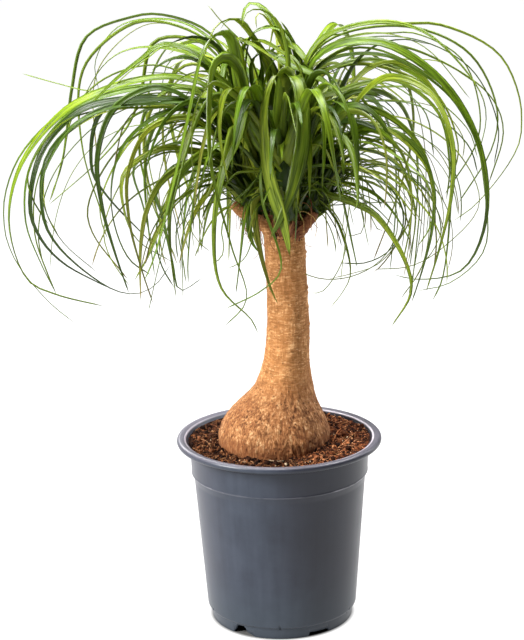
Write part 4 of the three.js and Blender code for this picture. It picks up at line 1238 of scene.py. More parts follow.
def cousin(random, points, width):
    """A thinner leaf beside another: turned, drawn in, and ending sooner or later."""
    points = np.array(points, dtype=float)
    root = points[0].copy()
    turn = radians(mix(*COUSIN_TURNS, random()))
    size = mix(*COUSIN_SIZES, random())
    drop = mix(*COUSIN_DROPS, random())
    share = np.linspace(0, 1, len(points))[:, None]
    away = (points - root) * (size, size, mix(*COUSIN_RISES, random()))
    turned = away @ np.array([
        [math.cos(turn), math.sin(turn), 0], [-math.sin(turn), math.cos(turn), 0], [0, 0, 1],
    ])
    moved = root + turned + share * (0, 0, drop)
    kept = max(4, int(round(len(points) * mix(*COUSIN_CUTS, random()))))
    return moved[:kept], max(1.8, width * mix(*COUSIN_WIDTHS, random()))


def keep_in_sector(points, half_width):
    """Holds a leaf inside its head's sector, bending it smoothly off the edge."""
    reach, side, z = np.asarray(points, dtype=float).T
    edge = math.sqrt(2) * (half_width + SECTOR_CLEARANCE)
    away = np.maximum(reach, edge + 1)
    limit = away * math.tan(radians(HEAD_HALF_SECTOR)) - edge
    share = np.abs(side) / limit
    free = 0.8
    over = free + (1 - free) * np.tanh((share - free) / (1 - free))
    held = np.where(share <= free, share, over)
    return np.stack([away, np.sign(side) * held * limit, z], axis=1)


def spline(points):
    """A centripetal Catmull-Rom curve through points, as many close points."""
    padded = np.vstack([2 * points[0] - points[1], points, 2 * points[-1] - points[-2]])
    t = np.linspace(0, 1, SPLINE_SAMPLES, endpoint=False)[:, None]
    pieces = []
    for p0, p1, p2, p3 in zip(padded, padded[1:], padded[2:], padded[3:]):
        d0, d1, d2 = (max(1e-3, np.linalg.norm(b - a)) ** 0.5 for a, b in ((p0, p1), (p1, p2), (p2, p3)))
        m1 = ((p1 - p0) / d0 - (p2 - p0) / (d0 + d1) + (p2 - p1) / d1) * d1
        m2 = ((p2 - p1) / d1 - (p3 - p1) / (d1 + d2) + (p3 - p2) / d2) * d1
        cubic = 2 * p1 - 2 * p2 + m1 + m2
        square = 3 * p2 - 3 * p1 - 2 * m1 - m2
        pieces.append(((cubic * t + square) * t + m1) * t + p1)
    pieces.append(points[-1:])
    return np.vstack(pieces)


def even_stations(curve, steps):
    """Points at even distances along a curve."""
    lengths = np.concatenate([[0], np.cumsum(np.linalg.norm(np.diff(curve, axis=0), axis=1))])
    wanted = np.linspace(0, lengths[-1], steps + 1)
    return np.column_stack([np.interp(wanted, lengths, curve[:, i]) for i in range(3)]), lengths[-1]


def blade_width(along, width, flare, hold):
    """The width along a blade: flared at its root, even as far as hold, then drawn out to a thin tip."""
    base = 1 + flare * np.maximum(0, 1 - along / FLARE_REACH)
    taper = 1 - TIP_TAPER * np.maximum(along - hold, 0) / (1 - hold)
    return np.maximum(width * base * taper, min(BLADE_TIP_WIDTH, 0.75 * width))


def eased_inside(points):
    """Points drawn in from the faces of the model's box, so that a curve bends before it would leave it."""
    low, high = LIMITS
    over = np.maximum(points - (high - EASE_DEPTH), 0)
    under = np.maximum((low + EASE_DEPTH) - points, 0)
    return points - over + EASE_DEPTH * (np.tanh(over / EASE_DEPTH) - np.tanh(under / EASE_DEPTH)) + under


def blade_rings(stations, tangents, across, wide, roll, fold):
    """Rings of points round a folded blade that rolls along its way."""
    thick = np.minimum(BLADE_THICKNESS, 0.4 * wide)
    rings = []
    for i in range(len(stations) - 1):
        tangent = tangents[i]
        across = unit(across - tangent * across.dot(tangent))
        up = np.cross(tangent, across)
        edge = across * math.cos(roll[i]) + up * math.sin(roll[i])
        face = up * math.cos(roll[i]) - across * math.sin(roll[i])
        height = fold[i] * wide[i] / 2 * (np.abs(ACROSS) ** 1.5 - 0.4) - thick[i] * THICKNESS_SHARE
        rings.append(stations[i] + np.outer(ACROSS * wide[i] / 2, edge) + np.outer(height, face))
    return np.array(rings)


def add_blade(pile, curve, across, width, look):
    """A closed blade along a curve. across is the way from one edge to the other at its root."""
    look = {**PLAIN_LOOK, **look}
    run = float(np.linalg.norm(np.diff(curve, axis=0), axis=1).sum())
    steps = int(np.clip(round(run / BLADE_STEP), BLADE_MIN_STEPS, BLADE_MAX_STEPS))
    stations, length = even_stations(curve, steps)
    stations = eased_inside(stations)
    tangents = unit(np.gradient(stations, axis=0))
    along = np.linspace(0, 1, steps + 1)
    wide = blade_width(along, width, look["flare"], look["hold"])
    roll = look["roll"] * smooth(*look["turns"], along) + look["twist"] * smooth(0.45, 1, along)
    fold = mix(look["fold"], 0.25, smooth(0.05, 0.7, along))
    rings = blade_rings(stations, tangents, across, wide, roll, fold)
    low, high = LIMITS
    shift = np.maximum(0, low - rings.min(axis=1)) - np.maximum(0, rings.max(axis=1) - high)
    rings += shift[:, None]
    root = rings[0].mean(axis=0) - tangents[0] * 0.3
    loft(
        pile, rings, root, np.clip(stations[-1], low, high),
        across=np.append(np.tile(ACROSS, steps), [0, 0]),
        under=np.append(np.tile(UNDER, steps), [0, 0]),
        along=np.append(np.repeat(along[:-1], len(ACROSS)), [0, 1]),
        distance=np.append(np.repeat(along[:-1] * length, len(ACROSS)), [0, length]),
        tint=look["tint"], dry=look["dry"], pale=look["pale"],
    )


def head_leaves(head):
    """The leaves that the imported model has: followed ones first, then those by rule."""
    random = seeded_random(head["seed"])
    leaves = []
    for order, (azimuth, width, route) in enumerate(head["routes"]):
        leaves.append((route_in_head(azimuth, head["facing"], route, order), width))
    for kind, count in head["fill"]:
        for _ in range(count):
            leaves.append(ruled_leaf(random, kind, head["flank"], len(leaves)))
    return leaves


def leaf_look(random, rolls, toward=1, folds=(0.3, 0.7), hold=0.3, dry_share=0.2):
    """How a leaf is turned, folded and coloured. Most leaves turn their face the same way."""
    side = toward if random() < 0.75 else -toward
    return {
        "roll": side * radians(mix(*rolls, random())),
        "twist": radians(mix(-50, 50, random())),
        "fold": mix(*folds, random()),
        "tint": mix(0.05, 0.82, random()),
        "dry": float(random() < dry_share),
        "pale": float(random() < 0.4),
        "hold": hold,
    }


def add_leaf(pile, head, points, width, look, hem=0):
    """A leaf of a head, which ends where it would hang below the hem."""
    held = keep_in_sector(points, width / 2)
    curve = to_plant(spline(held), head["facing"])
    below = np.flatnonzero(curve[:, 2] < hem)
    if len(below):
        curve = curve[:below[0]]
    turn = radians(head["facing"])
    across = np.array([-math.sin(turn), math.cos(turn), 0])
    add_blade(pile, curve, across, width, look)


def main_look(head, order, random, toward):
    """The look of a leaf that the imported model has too, with its head's own tint and hold where given."""
    look = leaf_look(random, head["rolls"], toward, head["folds"], head["hold"])
    if order < len(head["tints"]):
        tint = head["tints"][order]
        look.update(tint=tint, pale=float(tint > 0.72), dry=0.0)
    if order < len(head["holds"]):
        look["hold"] = head["holds"][order]
    return look


def add_cousins(pile, head, leaves, random, toward):
    """Thinner leaves beside some of a head's own."""
    for points, width in leaves:
        if random() < head["cousins"]:
            thin_points, thin_width = cousin(random, points, width)
            look = leaf_look(random, (5, 80), toward)
            add_leaf(pile, head, thin_points, thin_width, look, mix(*CROWN_HEM, random()))


def add_extra(pile, head, first, random, toward):
    """Leaves by rule that only this scene has. Their order goes on from the first's."""
    for kind, count in head["extra"]:
        dry_share = 0.5 if kind in (WISP_LEAF, CURL_LEAF) else 0
        for i in range(count):
            points, width = ruled_leaf(random, kind, EXTRA_FLANK, first + i)
            look = leaf_look(random, (0, 60), toward, dry_share=dry_share)
            # Heart leaves get lower tints, so darker: painted shade in the heart of the crown
            if kind is HEART_LEAF:
                look["tint"] = 1.7 * look["tint"] - 0.35
            add_leaf(pile, head, points, width, look, mix(*CROWN_HEM, random()))


def make_head(head):
    """A head's own leaves and core, and the finer leaves that only this scene adds."""
    leaves = head_leaves(head)
    toward = -1 if head["name"] == "left" else 1
    random = seeded_random(head["look"])
    main = Pile()
    for order, (points, width) in enumerate(leaves):
        broad = head["breadth"] * head.get("broad", {}).get(order, 1)
        add_leaf(main, head, points, width * broad, main_look(head, order, random, toward))
    add_core(main, head["facing"])
    add_sheaths(main, head["facing"])
    main.make("leaves_" + head["name"], leaf_material(), "leaf", "leaf_head_" + head["name"])
    extra = Pile()
    for traced in head["traced"]:
        add_traced(extra, *traced)
    add_cousins(extra, head, leaves, random, toward)
    add_extra(extra, head, len(leaves), random, toward)
    extra.make("fine_leaves_" + head["name"], leaf_material(), "leaf")


def add_traced(pile, width, roll, tint, points):
    """A followed leaf that only this scene has, through points of the plant."""
    points = np.array(points, dtype=float)
    run = points[-1] - points[0]
    across = unit(np.array([-run[1], run[0], 0.0]))
    look = {
        "roll": radians(roll), "twist": 0.0, "fold": 0.35, "tint": tint, "dry": 0.0,
        "pale": float(tint > 0.8), "hold": 0.6, "turns": (-0.3, 0),
    }
    add_blade(pile, spline(points), across, width, look)


def add_core(pile, facing):
    """The core of a head: clasping leaf bases wound round its axis, near black green as painted shade."""
    heights, radii = np.array(CORE_OUTLINE, dtype=float).T
    turn = turns(CORE_SIDES)
    rings = []
    for height in np.linspace(*CORE_SPAN, CORE_ROWS):
        radius = np.interp(height, heights, radii) - CORE_INSET
        ridge = 0.7 * np.abs(np.sin(turn * 3 + height * 0.16)) + 0.4 * np.sin(turn * 7 - height * 0.3)
        rings.append(on_head(level(turn) * (radius + ridge)[:, None] + (0, 0, height), facing))
    first, last = on_head([(0, 0, height) for height in CORE_ENDS], facing)
    across = np.append(np.tile(np.sin(turn * 6), CORE_ROWS), [0, 0])
    # Tint and pale of 0 make the core near black green: painted shade
    loft(
        pile, rings, first, last,
        across=across, under=0.0, along=0.5, distance=50.0, tint=0.0, dry=0.0, pale=0.0,
    )


def add_sheaths(pile, facing):
    """Short leaf bases that stand round a head's core and fan out from it."""
    heights, radii = np.array(CORE_OUTLINE, dtype=float).T
    random = seeded_random(facing + SHEATH_SEED)
    for i in range(SHEATHS):
        angle = 2 * math.pi * ((i * GOLDEN_FRACTION) % 1)
        foot = mix(*SHEATH_FEET, (i + random()) / SHEATHS)
        tall = mix(*SHEATH_LENGTHS, random())
        near = STUB_RADIUS + 1.2 if foot < 0 else np.interp(foot, heights, radii) + 0.4
        spread = mix(*SHEATH_SPREADS, random() ** 1.5)
        path = []
        for share in np.linspace(0, 1, 7):
            radius = near + spread * share ** 1.7 + 2.5 * smooth(0, 0.4, share) * (foot < 0)
            path.append([radius * math.cos(angle), radius * math.sin(angle), foot + tall * share])
        curve = on_head(spline(np.array(path)), facing)
        flat, middle = on_head([(-math.sin(angle), math.cos(angle), 0), (0, 0, 0)], facing)
        look = {
            "roll": radians(mix(-25, 25, random())), "twist": radians(mix(-60, 60, random())),
            "fold": 0.8, "tint": mix(0.1, 0.9, random()), "dry": 0.0, "flare": 0.6,
            "pale": float(random() < 0.25),
        }
        add_blade(pile, curve, middle - flat, mix(*SHEATH_WIDTHS, random()), look)


def add_shred(pile, random):
    """A dry shred of bark or old leaf base that stands off the top of the trunk."""
    angle = random.rand() * 2 * math.pi
    height = mix(*SHRED_Z, random.rand())
    spot, out = (found[0] for found in trunk_surface(np.array([height]), np.array([angle]), -0.6))
    side = np.array([-out[1], out[0], 0])
    length = mix(*SHRED_LENGTHS, random.rand() ** 1.5)
    lean_out = mix(-0.1, 0.75, random.rand())
    curl = mix(-0.9, 0.9, random.rand())
    path = [spot]
    for share in np.linspace(0, 1, 7)[1:]:
        rise = np.array([0, 0, 1 - lean_out * share])
        way = rise + out * (lean_out * share) + side * curl * 0.5 * share
        path.append(path[-1] + unit(way) * length / 6)
    look = {
        "roll": radians(random.normal() * 20), "twist": radians(random.normal() * 60), "fold": 0.5,
        "tint": random.rand(), "dry": 1.0, "flare": 0.4,
    }
    width = mix(*SHRED_WIDTHS, random.rand() ** 1.5)
    add_blade(pile, spline(np.array(path)), side, width, look)


def make_shreds():
    """Dry reddish shreds of bark and old leaf bases round the top of the trunk."""
    random = np.random.RandomState(SHRED_SEED)
    pile = Pile()
    for _ in range(SHREDS):
        add_shred(pile, random)
    for _ in range(TENDRILS):
        add_tendril(pile, random)
    pile.make("bark_shreds", shred_material(), "bark")


def add_tendril(pile, random):
    """A dry thread of old leaf that curls out from the foot of the crown."""
    angle = random.rand() * 2 * math.pi
    reach = mix(*TENDRIL_REACH, random.rand())
    height = mix(*TENDRIL_Z, random.rand())
    path = [np.array([CROWN_X + reach * math.cos(angle), reach * math.sin(angle), height])]
    turn = mix(-0.5, 0.5, random.rand())
    pitch = mix(-0.3, 0.5, random.rand())
    step = mix(2.5, 5.5, random.rand())
    for _ in range(TENDRIL_STEPS):
        angle += turn * 0.5
        pitch -= mix(0.05, 0.42, random.rand())
        ahead = math.cos(pitch)
        way = np.array([math.cos(angle) * ahead, math.sin(angle) * ahead, math.sin(pitch)])
        path.append(path[-1] + way * step)
    path = spline(np.array(path))[::4]
    tint = mix(0.6, 1.0, random.rand())
    radii = mix(*TENDRIL_RADII, random.rand()) * np.linspace(1, 0.5, len(path))
    tube(
        pile, path, radii, 5,
        across=0.0, under=0.0, along=0.5, distance=0.0, tint=tint, dry=1.0, pale=0.0,
    )


# Materials


def srgb(red, green, blue):
    """A linear colour from display values of 0 to 255."""
    linear = []
    for value in (red, green, blue):
        share = value / 255
        linear.append(share / 12.92 if share <= 0.04045 else ((share + 0.055) / 1.055) ** 2.4)
    return (*linear, 1.0)


class Nodes:
    """A tree of nodes, built from inputs that are values or other nodes' outputs."""

    def __init__(self, tree):
        self.tree = tree

    def fill(self, socket, value):
        if isinstance(value, bpy.types.NodeSocket):
            self.tree.links.new(value, socket)
        else:
            socket.default_value = value

    def node(self, kind, inputs=None, **settings):
        node = self.tree.nodes.new("ShaderNode" + kind)
        for key, value in settings.items():
            setattr(node, key, value)
        for key, value in (inputs or {}).items():
            self.fill(node.inputs[key], value)
        return node

    def math(self, operation, first, second=0.0, clamp=False):
        node = self.node("Math", {0: first, 1: second}, operation=operation, use_clamp=clamp)
        return node.outputs[0]

    def total(self, *parts):
        """The sum of values, each times its share."""
        values = [self.math("MULTIPLY", value, share) for value, share in parts]
        result = values[0]
        for value in values[1:]:
            result = self.math("ADD", result, value)
        return result

    def vector(self, operation, first, *rest):
        node = self.node("VectorMath", dict(enumerate((first, *rest))), operation=operation)
        return node.outputs["Value" if operation in ("LENGTH", "DOT_PRODUCT") else "Vector"]

    def range(self, value, low, high, to_low=0.0, to_high=1.0, kind="SMOOTHSTEP"):
        inputs = {"Value": value, "From Min": low, "From Max": high, "To Min": to_low, "To Max": to_high}
        return self.node("MapRange", inputs, interpolation_type=kind).outputs[0]

    def near(self, value, place, far, close, most=1.0):
        """The most where a value is close to a place, and 0 from far off it."""
        away = self.math("ABSOLUTE", self.math("SUBTRACT", value, place))
        return self.range(away, far, close, 0.0, most)


class Surface(Nodes):
    """A node material."""

    def __init__(self, name):
        self.material = bpy.data.materials.new(name)
        self.material.use_nodes = True
        super().__init__(self.material.node_tree)
        self.tree.nodes.clear()

    def attribute(self, name):
        return self.node("Attribute", attribute_name=name).outputs["Fac"]

    def position(self, stretch=(1, 1, 1)):
        """The place on the object in millimetres, stretched along each way."""
        place = self.node("TexCoord").outputs["Object"]
        scale = tuple(share / MM for share in stretch)
        return self.node("Mapping", {"Vector": place, "Scale": scale}).outputs[0]

    def from_axis(self):
        """The place in millimetres from the foot of the pot's axis."""
        return self.vector("ADD", self.position(), tuple(-AXIS / MM))

    def part(self, vector, axis):
        return self.node("SeparateXYZ", {"Vector": vector}).outputs[axis]

    def noise(self, vector, scale, detail=3.0, roughness=0.55):
        inputs = {"Vector": vector, "Scale": scale, "Detail": detail, "Roughness": roughness}
        return self.node("TexNoise", inputs).outputs["Fac"]

    def ramp(self, value, stops):
        node = self.node("ValToRGB", {"Fac": value})
        elements = node.color_ramp.elements
        while len(elements) < len(stops):
            elements.new(0.5)
        for element, (place, colour) in zip(elements, stops):
            element.position = place
            element.color = colour
        return node.outputs["Color"]

    def blend(self, amount, first, second, mode="MIX"):
        node = self.node("Mix", data_type="RGBA", blend_type=mode)
        for place, value in ((0, amount), (6, first), (7, second)):
            self.fill(node.inputs[place], value)
        return node.outputs[2]

    def bump(self, height, strength, distance, normal=None):
        inputs = {"Height": height, "Strength": strength, "Distance": distance * MM}
        if normal is not None:
            inputs["Normal"] = normal
        return self.node("Bump", inputs).outputs[0]

    def shader(self, colour, roughness, specular, normal=None, **more):
        inputs = {"Base Color": colour, "Roughness": roughness, "Specular IOR Level": specular, **more}
        if normal is not None:
            inputs["Normal"] = normal
        return self.node("BsdfPrincipled", inputs).outputs[0]

    def finish(self, shader):
        self.node("OutputMaterial", {"Surface": shader})
        return self.material


def pot_painted_light(surface, colour, x, z):
    """Painted light and shade on the wall: painted shade to the right and in an upright band right of its
    middle, and painted reflections that make it paler to the left and towards the foot.
    """
    # Painted shade, darker to the right
    colour = surface.blend(surface.range(x, 10, 80, 0.0, 0.75), colour, srgb(33, 33, 42))
    # Painted reflection, paler to the left
    colour = surface.blend(surface.range(x, -35, -90, 0.0, 0.35), colour, srgb(74, 70, 78))
    # Painted dark reflection in an upright band right of the middle
    band = surface.math("MULTIPLY", surface.near(x, 34, 46, 4, 0.6), surface.range(z, 30, 105))
    colour = surface.blend(band, colour, srgb(30, 30, 40))
    # Painted reflection of the floor, paler towards the foot
    colour = surface.blend(surface.range(z, 70, 12, 0.0, 0.4), colour, srgb(52, 62, 70))
    return colour


def pot_painted_edges(surface, colour, x, z):
    """Painted highlights: pale on the rim's top and inner edge and along the collar's foot. Painted shade:
    the wall is dark under the rim.
    """
    # Painted highlight on the rim's top
    top = surface.range(z, POT_HEIGHT - 2.4, POT_HEIGHT - 0.2, 0.0, 0.5)
    colour = surface.blend(top, colour, srgb(122, 119, 129))
    # Painted highlight on the rim's inner edge, strongest at the sides
    radius = surface.vector("LENGTH", surface.vector("MULTIPLY", surface.from_axis(), (1, 1, 0)))
    inner = surface.near(radius, RIM_INNER_RADIUS + 0.4, 1.4, 0.5)
    inner = surface.math("MULTIPLY", inner, surface.range(z, POT_HEIGHT - 3.5, POT_HEIGHT - 2))
    sides = surface.math("MAXIMUM", surface.range(x, 10, 80, 0.0, 0.75), surface.range(x, -50, -90, 0.1, 0.5))
    colour = surface.blend(surface.math("MULTIPLY", inner, sides), colour, srgb(206, 198, 208))
    # Painted shade, a dark band under the rim's lip
    colour = surface.blend(surface.near(z, POT_HEIGHT - 8.5, 4.5, 1.5, 0.65), colour, srgb(22, 24, 32))
    # Painted highlight along the collar's foot, broken and strongest towards the sides
    ends = surface.range(surface.math("ABSOLUTE", x), 20, 70, 0.25, 1.0)
    uneven = surface.range(surface.noise(surface.position((1, 1, 0.2)), 0.03, 3.0), 0.42, 0.6, 0.15, 0.7)
    uneven = surface.math("MULTIPLY", uneven, ends)
    ledge = surface.math("MULTIPLY", surface.near(z, COLLAR_FOOT_Z - 0.3, 0.9, 0.3), uneven)
    return surface.blend(ledge, colour, srgb(150, 148, 156))


def pot_material():
    """Moulded grey plastic: smooth, with faint upright streaks, painted light and shade across its wall,
    painted highlights on its edges and painted shade under the rim.
    """
    surface = Surface("pot_plastic")
    place = surface.position()
    x, z = surface.part(place, "X"), surface.part(place, "Z")
    streaks = surface.noise(surface.position((1, 1, 0.03)), 0.12, 3.0)
    tone = surface.total((streaks, 0.4), (surface.noise(place, 0.035, 4.0), 0.6))
    colour = surface.ramp(tone, [
        (0.3, srgb(39, 44, 55)), (0.5, srgb(48, 54, 66)), (0.7, srgb(56, 62, 74)),
    ])
    colour = pot_painted_light(surface, colour, x, z)
    colour = pot_painted_edges(surface, colour, x, z)
    normal = surface.bump(surface.noise(place, 0.9, 2.0), 0.08, 0.2)
    rough = surface.range(tone, 0.3, 0.7, 0.3, 0.38)
    return surface.finish(surface.shader(colour, rough, 0.32, normal))


def painted_light_right(surface, colour):
    """Painted light: lightens the soil to the right of the trunk."""
    away = surface.part(surface.position(), "X")
    light = surface.ramp(surface.range(away, 10, 70), [
        (0.0, (1.0, 0.96, 0.92, 1)), (1.0, (2.1, 1.95, 1.9, 1)),
    ])
    return surface.blend(1.0, colour, light, "MULTIPLY")


def soil_material():
    """Dark moist peat with pale grains."""
    surface = Surface("potting_soil")
    place = surface.position()
    fine = surface.noise(place, 1.3, 3.0, 0.7)
    tone = surface.total((surface.noise(place, 0.16, 5.0, 0.7), 0.6), (fine, 0.4))
    colour = surface.ramp(tone, [
        (0.42, srgb(4, 2, 1)), (0.5, srgb(30, 15, 8)), (0.58, srgb(84, 45, 24)),
        (0.68, srgb(158, 104, 68)),
    ])
    normal = surface.bump(fine, 0.9, 0.9)
    # Painted light: the soil is lightened to the right of the trunk
    return surface.finish(surface.shader(painted_light_right(surface, colour), 0.95, 0.1, normal))


def soil_crumb_material():
    """Crumbs and fibres, from dark peat through coir to pale grit by their tint."""
    surface = Surface("soil_crumbs")
    fine = surface.noise(surface.position(), 1.6, 3.0, 0.65)
    base = surface.ramp(surface.attribute("tint"), [
        (0.0, srgb(5, 2, 1)), (0.3, srgb(54, 28, 16)), (0.6, srgb(144, 92, 60)),
        (0.7, srgb(164, 104, 62)), (0.86, srgb(210, 160, 116)), (0.92, srgb(222, 206, 176)),
    ])
    shade = surface.ramp(fine, [(0.3, srgb(120, 120, 120)), (0.7, srgb(255, 255, 255))])
    # Painted light: the crumbs and fibres are lightened to the right of the trunk
    colour = painted_light_right(surface, surface.blend(1.0, base, shade, "MULTIPLY"))
    return surface.finish(surface.shader(colour, 0.9, 0.12, surface.bump(fine, 0.8, 0.5)))


def bark_dashes(surface, colour, upper):
    """Dark and pale dashes across the upper trunk, along its ring scars."""
    dashes = surface.noise(surface.position((0.3, 0.3, 1)), 0.8, 2.0, 0.5)
    cuts = surface.math("MULTIPLY", surface.range(dashes, 0.42, 0.33, 0.0, 0.7), upper)
    colour = surface.blend(cuts, colour, srgb(104, 58, 30))
    ridges = surface.math("MULTIPLY", surface.range(dashes, 0.58, 0.68, 0.0, 0.5), upper)
    return surface.blend(ridges, colour, srgb(246, 204, 150))


def bark_pits(surface, place):
    """Sparse dark pits."""
    spots = surface.node("TexVoronoi", {"Vector": place, "Scale": 0.21}).outputs["Distance"]
    sparse = surface.range(surface.noise(place, 0.07, 2.0), 0.42, 0.54)
    pits = surface.math("MULTIPLY", surface.range(spots, 0.3, 0.12), sparse)
    return surface.math("MULTIPLY", pits, 0.8)


def bark_material():
    """Corky tan bark: broken ring scars above, mottled and pitted below, streaked at the soil."""
    surface = Surface("bark")
    place = surface.position()
    height = surface.part(place, "Z")
    upper = surface.range(height, 225, 275)
    patches = surface.noise(surface.position((1, 1, 0.7)), 0.11, 5.0, 0.72)
    cork = surface.noise(surface.position((1, 1, 0.34)), 0.5, 3.0, 0.65)
    strokes = surface.noise(surface.position((0.22, 0.22, 1)), 0.5, 4.0, 0.6)
    specks = surface.node("Mix", {0: upper, 2: cork, 3: strokes}, data_type="FLOAT").outputs[0]
    grain = surface.noise(surface.position((1, 1, 0.14)), 0.6, 4.0, 0.7)
    tone = surface.total((patches, 0.34), (specks, 0.34), (grain, 0.32))
    colour = surface.ramp(tone, [
        (0.4, srgb(76, 42, 21)), (0.45, srgb(116, 72, 40)), (0.5, srgb(148, 99, 60)),
        (0.55, srgb(178, 129, 84)), (0.62, srgb(232, 190, 142)),
    ])
    colour = bark_dashes(surface, colour, upper)
    warm = surface.range(surface.noise(place, 0.045, 3.0), 0.42, 0.6, 0.0, 0.3)
    colour = surface.blend(warm, colour, srgb(146, 88, 46))
    pits = bark_pits(surface, place)
    colour = surface.blend(pits, colour, srgb(64, 34, 18))
    colour = surface.blend(surface.range(height, 208, 186, 0.0, 0.5), colour, srgb(118, 68, 40))
    # Darker where the bark lies deep, in its cracks, scars, seams and pits: partly their own colour, partly
    # painted shade.
    cracks = surface.math("MULTIPLY", surface.attribute("depth"), 0.75, clamp=True)
    colour = surface.blend(cracks, colour, srgb(80, 44, 24))
    colour = surface.blend(surface.math("MULTIPLY", upper, 0.24), colour, srgb(226, 160, 92))
    red = surface.math("MULTIPLY", surface.attribute("red"), 0.75)
    colour = surface.blend(red, colour, srgb(92, 48, 32))
    normal = surface.bump(specks, 1.0, 1.3)
    normal = surface.bump(grain, 0.7, 0.8, normal)
    normal = surface.bump(pits, -0.5, 0.8, normal)
    return surface.finish(surface.shader(colour, 0.86, 0.25, normal))


def shred_material():
    """Dry bark and old leaf, from red-brown to straw by its tint."""
    surface = Surface("bark_shreds")
    colour = surface.ramp(surface.attribute("tint"), [
        (0.0, srgb(62, 30, 22)), (0.35, srgb(112, 58, 38)), (0.65, srgb(160, 92, 56)),
        (0.85, srgb(198, 140, 84)), (1.0, srgb(226, 184, 108)),
    ])
    fine = surface.noise(surface.position(), 0.9, 3.0)
    shade = surface.ramp(fine, [(0.3, srgb(150, 150, 150)), (0.7, srgb(255, 255, 255))])
    colour = surface.blend(1.0, colour, shade, "MULTIPLY")
    return surface.finish(surface.shader(colour, 0.8, 0.3))


def on_blade(surface, across, distance, tint):
    """A place on a blade, from shares of the way across, the way from its root and its tint."""
    parts = {}
    for axis, name, share in (("X", "across", across), ("Y", "distance", distance), ("Z", "tint", tint)):
        parts[axis] = surface.math("MULTIPLY", surface.attribute(name), share)
    return surface.node("CombineXYZ", parts).outputs[0]


def leaf_stripes(surface, colour, vein, fine_vein):
    """Fine lengthwise stripes, and a duller underside."""
    streaks = surface.ramp(vein, [(0.38, srgb(160, 168, 150)), (0.58, srgb(255, 255, 255))])
    colour = surface.blend(1.0, colour, streaks, "MULTIPLY")
    stripe = surface.range(fine_vein, -1.0, 1.0, 0.0, 0.12)
    colour = surface.blend(stripe, colour, srgb(168, 176, 84))
    under = surface.math("MULTIPLY", surface.attribute("under"), 0.25)
    return surface.blend(under, colour, srgb(126, 140, 58))


def leaf_ends(surface, colour):
    """Pale at the root of pale leaves and dark there on the others, the dark as painted shade; faded to a dry
    tip where the leaf is dry.
    """
    # The dark root colour is painted shade in the heart of the crown; the pale one is the leaf's own colour
    root = surface.range(surface.attribute("distance"), 70.0, 12.0, 0.0, 0.75)
    root_colour_and_shade = surface.blend(surface.attribute("pale"), srgb(30, 52, 6), srgb(140, 156, 36))
    colour = surface.blend(root, colour, root_colour_and_shade)
    along = surface.attribute("along")
    dry = surface.attribute("dry")
    faded = surface.math("MULTIPLY", surface.range(along, 0.35, 0.9, 0.0, 0.5), dry)
    colour = surface.blend(faded, colour, srgb(132, 124, 58))
    tip = surface.math("MULTIPLY", surface.range(along, 0.86, 0.99), dry)
    return surface.blend(tip, colour, srgb(138, 124, 78))


def leaf_material():
    """Green straps with fine lengthwise veins, pale at the root of some and dark there on others as painted
    shade, near black at the lowest tints as painted shade, and dry at some tips.
    """
    if "leaf_blade" in bpy.data.materials:
        return bpy.data.materials["leaf_blade"]
    surface = Surface("leaf_blade")
    tint = surface.attribute("tint")
    vein = surface.noise(on_blade(surface, 1.7, 0.012, 40.0), 2.2, 3.0, 0.6)
    patch = surface.noise(on_blade(surface, 0.3, 0.02, 70.0), 1.4, 2.0)
    fine_vein = surface.math("SINE", surface.math("MULTIPLY", surface.attribute("across"), 24.0))
    colour = surface.ramp(surface.total((tint, 0.5), (vein, 0.42), (patch, 0.2)), [
        (0.2, srgb(32, 58, 4)), (0.4, srgb(74, 110, 8)), (0.58, srgb(118, 146, 18)),
        (0.78, srgb(162, 171, 42)), (0.95, srgb(194, 191, 82)),
    ])
    cool = surface.range(surface.math("SINE", surface.math("MULTIPLY", tint, 37.0)), 0.0, 1.0, 0.0, 0.35)
    colour = surface.blend(cool, colour, srgb(76, 106, 42))
    colour = leaf_stripes(surface, colour, vein, fine_vein)
    colour = leaf_ends(surface, colour)
    # Near black green at the lowest tints: painted shade on the core, on darker heart leaves and on a few
    # listed leaves
    colour = surface.blend(surface.range(tint, 0.0, 0.12, 0.6, 0.0), colour, srgb(22, 48, 1))
    normal = surface.bump(fine_vein, 0.25, 0.12)
    normal = surface.bump(vein, 0.3, 0.3, normal)
    face = surface.shader(colour, surface.range(vein, 0.3, 0.7, 0.26, 0.38), 0.32, normal)
    glow = surface.blend(0.3, colour, srgb(168, 184, 24))
    through = surface.node("BsdfTranslucent", {"Color": glow, "Normal": normal}).outputs[0]
    return surface.finish(surface.node("MixShader", {0: 0.4, 1: face, 2: through}).outputs[0])


# Stage


def floor_material():
    """White glow, fading from a little outside the pot's foot to none under it: painted shade under the pot,
    so that no light shows through the foot's openings, and a painted contact shadow round its foot.
    """
    surface = Surface("pale_floor")
    away = surface.vector("LENGTH", surface.from_axis())
    glow = surface.range(away, FOOT_INNER_RADIUS, FOOT_RADIUS + 5, 0.0, FLOOR_GLOW)
    light = {"Emission Color": (1, 1, 1, 1), "Emission Strength": glow}
    return surface.finish(surface.shader((0.12, 0.12, 0.12, 1), 0.9, 0.1, **light))


def make_floor():
    mesh = bpy.data.meshes.new("floor")
    ends = ((-1, -1), (1, -1), (1, 1), (-1, 1))
    corners = [(x * FLOOR_REACH, y * FLOOR_REACH, -FLOOR_DROP) for x, y in ends]
    mesh.from_pydata(corners, [], [(0, 1, 2, 3)])
    mesh.materials.append(floor_material())
    show("floor", mesh)


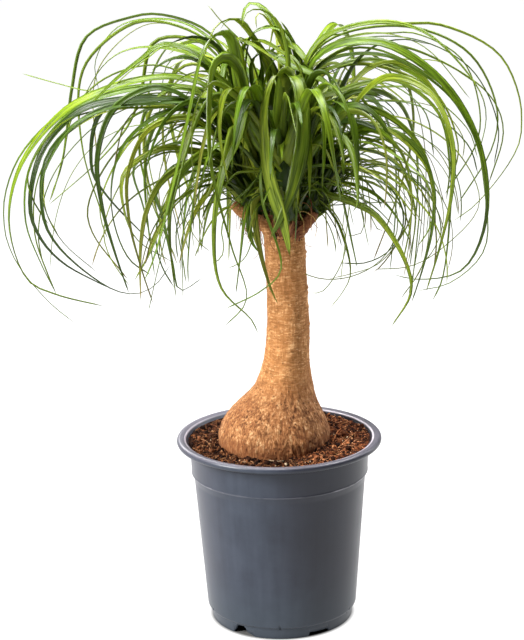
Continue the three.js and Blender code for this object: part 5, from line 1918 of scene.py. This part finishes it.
def soft_box(name, place, target, size, power, colour):
    """A soft light at a place in millimetres, turned to a target."""
    lamp = bpy.data.lights.new(name, "AREA")
    lamp.shape = "RECTANGLE"
    lamp.size = size[0] * MM
    lamp.size_y = size[1] * MM
    lamp.energy = power
    lamp.color = colour
    start = np.array(place) * MM + AXIS
    back = unit(start - (np.array(target) * MM + AXIS))
    side = unit(np.cross((0, 0, 1.0), back))
    show(name, lamp).matrix_world = standing(start, side, np.cross(back, side), back)


def standing(place, side, top, back):
    """Where a light or a camera stands, and the ways of its own right, top and back."""
    turn = Matrix(np.column_stack([side, top, back]).tolist()).to_4x4()
    return Matrix.Translation(place.tolist()) @ turn


def make_world():
    """A white horizon under a dimmer sky, as in a studio with a pale sweep."""
    world = bpy.data.worlds.new("pale_studio")
    bpy.context.scene.world = world
    world.use_nodes = True
    sky = Nodes(world.node_tree)
    way = sky.node("TexCoord").outputs["Generated"]
    parts = sky.node("SeparateXYZ", {0: way}).outputs
    side = sky.vector("DOT_PRODUCT", way, BRIGHT_SIDE)
    glow = sky.range(side, *SIDE_RANGE, *SIDE_GLOW, kind="LINEAR")
    behind = sky.math("MAXIMUM", parts["Y"], BACKDROP_START)
    height = sky.math("SUBTRACT", parts["Z"], sky.math("MULTIPLY", behind, BACKDROP_RISE))
    fade = sky.range(height, *FADE_HEIGHTS, glow, SKY_STRENGTH)
    low = sky.range(parts["Z"], *HORIZON_HEIGHTS, 1.0, 0.0)
    strength = sky.math("MAXIMUM", fade, low)
    sky.fill(world.node_tree.nodes["Background"].inputs["Strength"], strength)


def make_camera():
    yaw, pitch, roll = (radians(turn) for turn in (CAMERA_YAW, CAMERA_PITCH, CAMERA_ROLL))
    right = np.array([math.cos(yaw), math.sin(yaw), 0])
    level_ahead = np.array([-math.sin(yaw), math.cos(yaw), 0])
    ahead = math.cos(pitch) * level_ahead - (0, 0, math.sin(pitch))
    up = math.sin(pitch) * level_ahead + (0, 0, math.cos(pitch))
    side = math.cos(roll) * right + math.sin(roll) * up
    top = math.cos(roll) * up - math.sin(roll) * right
    lens = bpy.data.cameras.new("camera")
    lens.lens = CAMERA_LENS
    lens.sensor_width = SENSOR
    lens.sensor_fit = "AUTO"
    lens.clip_end = CLIP_END
    camera = show("camera", lens)
    place = np.array([0, -CAMERA_DISTANCE, CAMERA_HEIGHT]) * MM + AXIS
    camera.matrix_world = standing(place, side, top, -ahead)
    bpy.context.scene.camera = camera


def set_display():
    view = bpy.context.scene.view_settings
    view.view_transform = "Standard"
    view.look = "None"
    view.exposure = 0.0
    view.gamma = 1.0


make_camera()
make_floor()
make_world()
for light in LIGHTS:
    soft_box(*light)
set_display()
make_pot()
make_soil()
make_crumbs()
make_fibres()
make_trunk()
make_shreds()
for leaf_head in HEADS:
    make_head(leaf_head)
